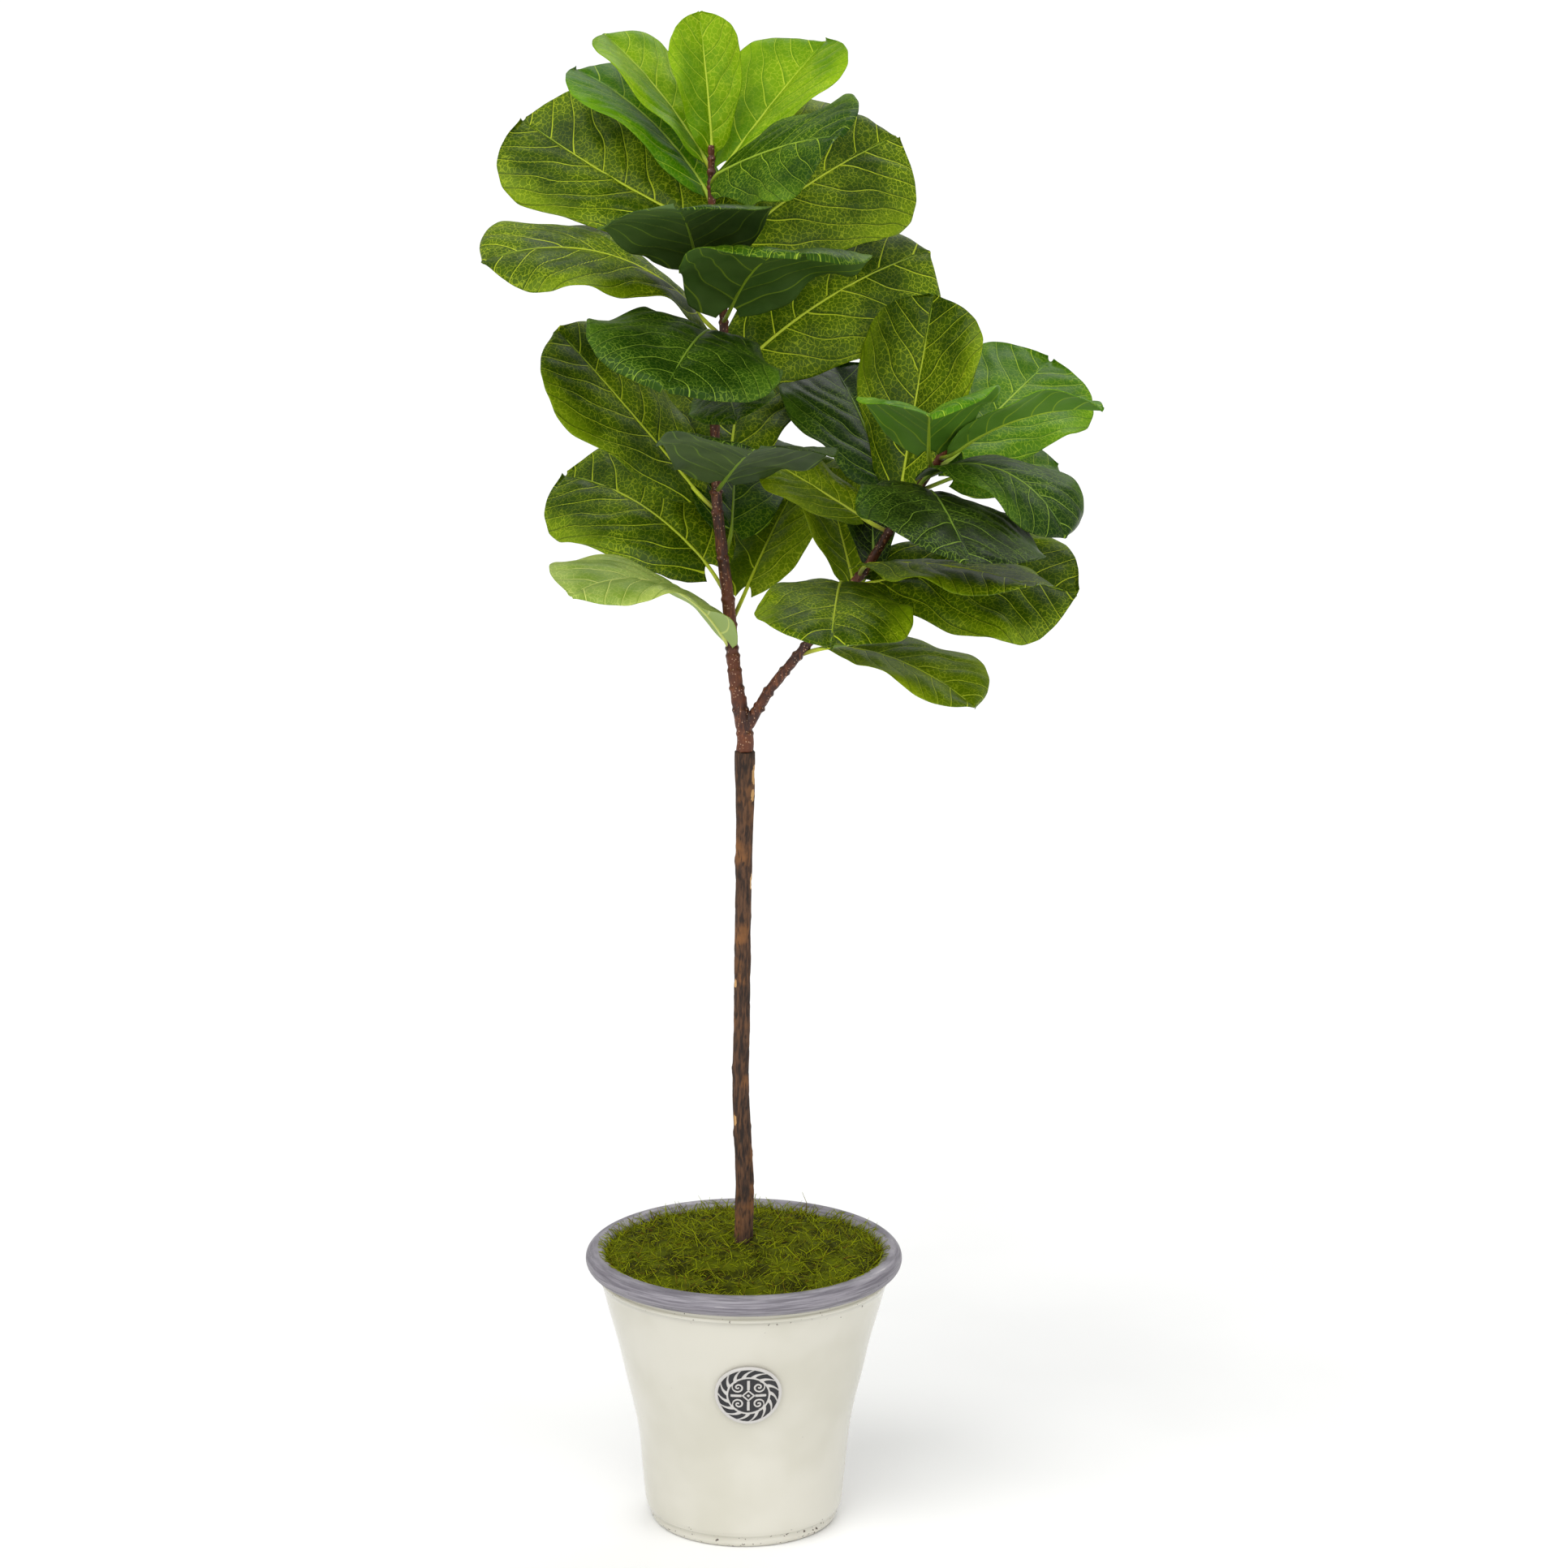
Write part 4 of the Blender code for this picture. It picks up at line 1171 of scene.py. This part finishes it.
def make_badge():
    shares = np.linspace(0.004, 1.0, BADGE_RINGS)[:, None]
    turns = (np.arange(BADGE_SECTORS) * tau / BADGE_SECTORS)[None, :]
    relief = badge_relief(shares, turns + 0 * shares)
    rounded = np.sqrt(np.clip(1 - ((shares - 0.955) / 0.045) ** 2, 0, 1))
    front = BADGE_BACK + BADGE_THICKNESS - RELIEF * (1 - relief)
    front = np.where(shares > 0.955, front - 0.0012 * (1 - rounded), front)
    points = []
    values = []

    def add_ring(share, offsets, heights):
        for turn, offset, height in zip(turns[0], offsets, heights):
            across, up = share * BADGE_RADIUS * cos(turn), share * BADGE_RADIUS * sin(turn)
            distance = wall_radius(BADGE_HEIGHT + up) + offset
            angle = across / wall_radius(BADGE_HEIGHT) + BADGE_TURN
            points.append((distance * sin(angle), -distance * cos(angle), BADGE_HEIGHT + up))
            values.append((height, 0.0))

    for share, offsets, heights in zip(shares[:, 0], front, relief):
        add_ring(share, offsets, heights)
    for share in (1.0, 0.7, 0.3, 0.004):
        add_ring(share, np.full(BADGE_SECTORS, BADGE_BACK - 0.0005), np.ones(BADGE_SECTORS))
    faces = tube_faces(BADGE_RINGS + 4, BADGE_SECTORS)
    piece = new_piece("relief_badge", points, faces, [badge_glaze_material()])
    set_uv(piece, "relief", values)
    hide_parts("badge")
    print("Badge:", len(faces), "faces")


make_badge()

# %% [markdown]
# ## Soil and moss
# The potting fill is hidden, so its measured solid stays and only gets a crumbly finish. The
# sheet moss on top is what shows: thousands of fine curly stems, yellow-green with some brown
# ones. A lumpy dome would look like felt from close by, so real strands grow out of it.

# %% The potting fill


def fill_material():
    """Dark crumbly potting mix, with lighter grit of about 3 mm."""
    material, shader, add = new_material("crumbly_potting_mix", 0.95, 1.40)
    place = add("TexCoord")["Object"]
    crumb = add("TexVoronoi", {"Scale": 320.0, "Vector": place})
    base = add(
        "Mix",
        {
            **COLOUR,
            0: add("MapRange", {**SMOOTH, 0: crumb[0], 1: 0.1, 2: 0.7})[0],
            6: "#3A2A1E",
            7: "#15100C",
        },
    )[2]
    set_inputs(shader, {"Base Color": base})
    bump = add("Bump", {"Strength": 0.8, "Distance": 1.5 * MM, "Height": crumb[0]})
    set_inputs(shader, {"Normal": bump[0]})
    return material


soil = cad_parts["soil"]
for place in soil.material_slots:
    place.material = fill_material()

# %% The moss
MOSS_RADIUS = 0.1372
MOSS_HOLE = 0.0115
MOSS_EDGE_TOP = 0.2775
MOSS_CROWN_TOP = 0.2930
MOSS_BOTTOM = 0.2565
MOSS_LUMP = 0.0055
MOSS_RINGS = 60
MOSS_SIDES = 180
STRAND_COUNT = 8600
STRAND_RINGS = 4
STRAND_REACH = 0.1465


def moss_height(x, y):
    distance = min((x * x + y * y) ** 0.5 / MOSS_RADIUS, 1.0)
    dome = MOSS_EDGE_TOP + (MOSS_CROWN_TOP - MOSS_EDGE_TOP) * (1 - distance**2)
    lump = noise.noise(Vector((x, y, 0.0)) / 0.025) + 0.45 * noise.noise(Vector((x, y, 0.3)) / 0.008)
    return dome + MOSS_LUMP * lump * (1 - distance**6)


def moss_bed():
    """The felted bed: lumpy on top, flat below, with a hole for the trunk."""
    radii = np.linspace(MOSS_HOLE, MOSS_RADIUS, MOSS_RINGS)
    turns = np.arange(MOSS_SIDES) * tau / MOSS_SIDES
    rings = [
        [(r * cos(t), r * sin(t), moss_height(r * cos(t), r * sin(t))) for t in turns] for r in radii
    ]
    under = ((MOSS_RADIUS - 0.004, 0.004), (0.118, 0.0), (0.05, 0.0), (MOSS_HOLE, 0.0))
    for radius, lift in under:
        rings.append([(radius * cos(t), radius * sin(t), MOSS_BOTTOM + lift) for t in turns])
    rings.append(rings[0])
    count = len(rings) - 1
    faces = []
    for face in grid_faces(len(rings), MOSS_SIDES, closed=True):
        faces.append(tuple(corner % (count * MOSS_SIDES) for corner in face))
    return np.array(rings[:-1]).reshape(-1, 3), faces


def moss_strands():
    """Curly three-sided stems with closed ends, and a random number for each one's colour."""
    spread = np.sqrt(rng.uniform((MOSS_HOLE / MOSS_RADIUS) ** 2, 1.0, STRAND_COUNT)) * MOSS_RADIUS
    # A fifth of the strands stand at the edge, so that the moss reaches the rim.
    spread = np.where(rng.uniform(0, 1, STRAND_COUNT) < 0.2, MOSS_RADIUS - 0.004, spread)
    spread = np.minimum(spread, MOSS_RADIUS - 0.001)
    turn = rng.uniform(0, tau, STRAND_COUNT)
    x, y = spread * np.cos(turn), spread * np.sin(turn)
    z = np.array([moss_height(a, b) for a, b in zip(x, y)]) - 0.0015
    root = np.stack([x, y, z], axis=1)
    lean = rng.uniform(0, tau, STRAND_COUNT)
    rise = rng.uniform(0.0, 0.7, STRAND_COUNT)
    flat = np.sqrt(1 - rise**2)
    heading = np.stack([np.cos(lean) * flat, np.sin(lean) * flat, rise], axis=1)
    length = rng.gamma(6.0, 0.0013, STRAND_COUNT) + 0.003
    curl = rng.normal(0, 0.75, (STRAND_COUNT, 3))
    curl[:, 2] -= 0.5
    radius = rng.uniform(0.40, 0.75, STRAND_COUNT) * MM
    share = np.linspace(0, 1, STRAND_RINGS)
    centres = root[:, None] + length[:, None, None] * (
        share[None, :, None] * heading[:, None] + 0.5 * share[None, :, None] ** 2 * curl[:, None]
    )
    # Strands at the edge lie over the rim's inner shoulder, and stay within its crest.
    reach = np.hypot(centres[..., 0], centres[..., 1])
    pull = np.minimum(1.0, STRAND_REACH / reach)
    centres[..., :2] *= pull[..., None]
    reach = np.minimum(reach, STRAND_REACH)
    across = np.minimum(np.abs(reach - ROLL_CENTRE[0]), ROLL_RADIUS)
    shoulder = ROLL_CENTRE[1] + np.sqrt(ROLL_RADIUS**2 - across**2) + 0.0005
    lowest = np.where(across < ROLL_RADIUS, shoulder, MOSS_EDGE_TOP - 0.004)
    centres[..., 2] = np.maximum(centres[..., 2], lowest)
    along = np.gradient(centres, axis=1)
    along /= np.maximum(np.linalg.norm(along, axis=2, keepdims=True), 1e-9)
    sideways = np.cross(along, rng.normal(0, 1, (STRAND_COUNT, 1, 3)))
    sideways /= np.maximum(np.linalg.norm(sideways, axis=2, keepdims=True), 1e-9)
    upward = np.cross(along, sideways)
    thin = (radius[:, None] * (1 - 0.7 * share[None, :]))[..., None, None]
    angles = np.arange(3) * tau / 3
    rings = centres[:, :, None] + thin * (
        np.cos(angles)[None, None, :, None] * sideways[:, :, None]
        + np.sin(angles)[None, None, :, None] * upward[:, :, None]
    )
    shape = tube_faces(STRAND_RINGS, 3)
    pattern, caps = (np.array([face for face in shape if len(face) == n]) for n in (4, 3))
    starts = np.arange(STRAND_COUNT)[:, None, None] * STRAND_RINGS * 3
    quads = (pattern[None] + starts).reshape(-1, 4)
    ends = (caps[None] + starts).reshape(-1, 3)
    luck = np.repeat(rng.uniform(0, 1, STRAND_COUNT), STRAND_RINGS * 3)
    tip = np.tile(np.repeat(share, 3), STRAND_COUNT)
    return rings.reshape(-1, 3), quads.tolist() + ends.tolist(), np.stack([luck, tip], axis=1)


def moss_material():
    """Dried, dyed sheet moss: dull, yellow-green, with paler tips and some brown stems."""
    material, shader, add = new_material("dried_sheet_moss", 0.85, 1.40)
    set_inputs(shader, {"Specular IOR Level": 0.1})
    strand = add("UVMap", {"uv_map": "strand"})[0]
    luck, tip, _ = add("SeparateXYZ", {0: strand})
    place = add("TexCoord")["Object"]
    patch = add("TexNoise", {"Scale": 38.0, "Detail": 3.0, "Vector": place})[0]
    base = add(
        "Mix",
        {
            **COLOUR,
            0: add("MapRange", {**SMOOTH, 0: patch, 1: 0.35, 2: 0.65})[0],
            6: "#2C2E04",
            7: "#525A04",
        },
    )[2]
    base = add(
        "Mix",
        {
            **COLOUR,
            0: add("MapRange", {**SMOOTH, 0: luck, 1: 0.45, 2: 0.8})[0],
            6: base,
            7: "#8C960A",
        },
    )[2]
    base = add(
        "Mix",
        {
            **COLOUR,
            0: add("MapRange", {**SMOOTH, 0: luck, 1: 0.88, 2: 0.92})[0],
            6: base,
            7: "#5A3D12",
        },
    )[2]
    base = add(
        "Mix",
        {
            **COLOUR,
            0: add("MapRange", {**SMOOTH, 0: tip, 1: 0.2, 2: 1.0, 3: 0.0, 4: 0.4})[0],
            6: base,
            7: "#A8B01E",
        },
    )[2]
    set_inputs(shader, {"Base Color": base})
    grain = add("TexNoise", {"Scale": 500.0, "Detail": 2.0, "Vector": place})[0]
    bump = add("Bump", {"Strength": 0.5, "Distance": 1.0 * MM, "Height": grain})
    set_inputs(shader, {"Normal": bump[0]})
    return material


def make_moss():
    bed, bed_faces = moss_bed()
    strands, strand_faces, strand_uv = moss_strands()
    shifted = [tuple(corner + len(bed) for corner in face) for face in strand_faces]
    piece = new_piece(
        "sheet_moss", np.concatenate([bed, strands]), bed_faces + shifted, [moss_material()]
    )
    set_uv(piece, "strand", np.concatenate([np.zeros((len(bed), 2)), strand_uv]))
    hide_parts("moss")
    print("Moss:", STRAND_COUNT, "strands,", len(bed_faces) + len(shifted), "faces")


make_moss()

# %% [markdown]
# ## Floor, light and camera
# A plain pale floor and large soft lights show the plant the way a studio would. The key light
# is high at the left, and wide, so that the satin leaves shine softly and shadows stay faint. The
# camera stands far back with a long lens, so the tall tree keeps straight lines.

# %% The floor
FLOOR_SIZE = 60.0
FLOOR_GAP = 0.0005


def floor_material():
    """Matt white paper with a very slight mottle."""
    material, shader, add = new_material("matt_white_paper", 0.9, 1.45)
    place = add("TexCoord")["Object"]
    mottle = add("TexNoise", {"Scale": 3.0, "Vector": place})[0]
    base = add(
        "Mix",
        {
            **COLOUR,
            0: add("MapRange", {**SMOOTH, 0: mottle, 1: 0.3, 2: 0.7})[0],
            6: "#F7F7F6",
            7: "#FBFBFA",
        },
    )[2]
    set_inputs(shader, {"Base Color": base})
    return material


corners = [(-0.5, -0.5), (0.5, -0.5), (0.5, 0.5), (-0.5, 0.5)]
floor_mesh = bpy.data.meshes.new("studio_floor")
points = [(x * FLOOR_SIZE, y * FLOOR_SIZE, -FLOOR_GAP) for x, y in corners]
floor_mesh.from_pydata(points, [], [(0, 1, 2, 3)])
floor_mesh.materials.append(floor_material())
floor = bpy.data.objects.new("studio_floor", floor_mesh)
bpy.context.scene.collection.objects.link(floor)

# %% The lights


def sun_light(name, direction, strength, softness):
    """A very large, distant lamp. direction points towards it, and softness is in degrees."""
    data = bpy.data.lights.new(name, "SUN")
    data.energy = strength
    data.angle = radians(softness)
    light = bpy.data.objects.new(name, data)
    light.rotation_euler = Vector(direction).to_track_quat("Z", "Y").to_euler()
    bpy.context.scene.collection.objects.link(light)


sun_light("key", (-1.7, -2.7, 3.0), 2.0, 60)
sun_light("fill", (2.4, -2.6, 1.7), 0.8, 50)
sun_light("back", (1.0, 2.4, 2.8), 0.7, 40)

world = bpy.data.worlds.new("studio")
bpy.context.scene.world = world
world.use_nodes = True
world.node_tree.nodes["Background"].inputs["Color"].default_value = linear("#FFFFFF")
world.node_tree.nodes["Background"].inputs["Strength"].default_value = 0.45
bpy.context.scene.view_settings.view_transform = "Standard"

# %% The camera
CAMERA_PLACE = (0.0, -4.77, 1.94)
CAMERA_TILT = 13.87
SENSOR_WIDTH = 36.0
FOCAL_LENGTH = 115.1
FRAMING_SHIFT = 0.0256

camera_data = bpy.data.cameras.new("camera")
camera_data.sensor_width = SENSOR_WIDTH
camera_data.lens = FOCAL_LENGTH
camera_data.shift_x = FRAMING_SHIFT
camera = bpy.data.objects.new("camera", camera_data)
camera.location = CAMERA_PLACE
camera.rotation_euler = (radians(90 - CAMERA_TILT), 0, 0)
bpy.context.scene.collection.objects.link(camera)
bpy.context.scene.camera = camera
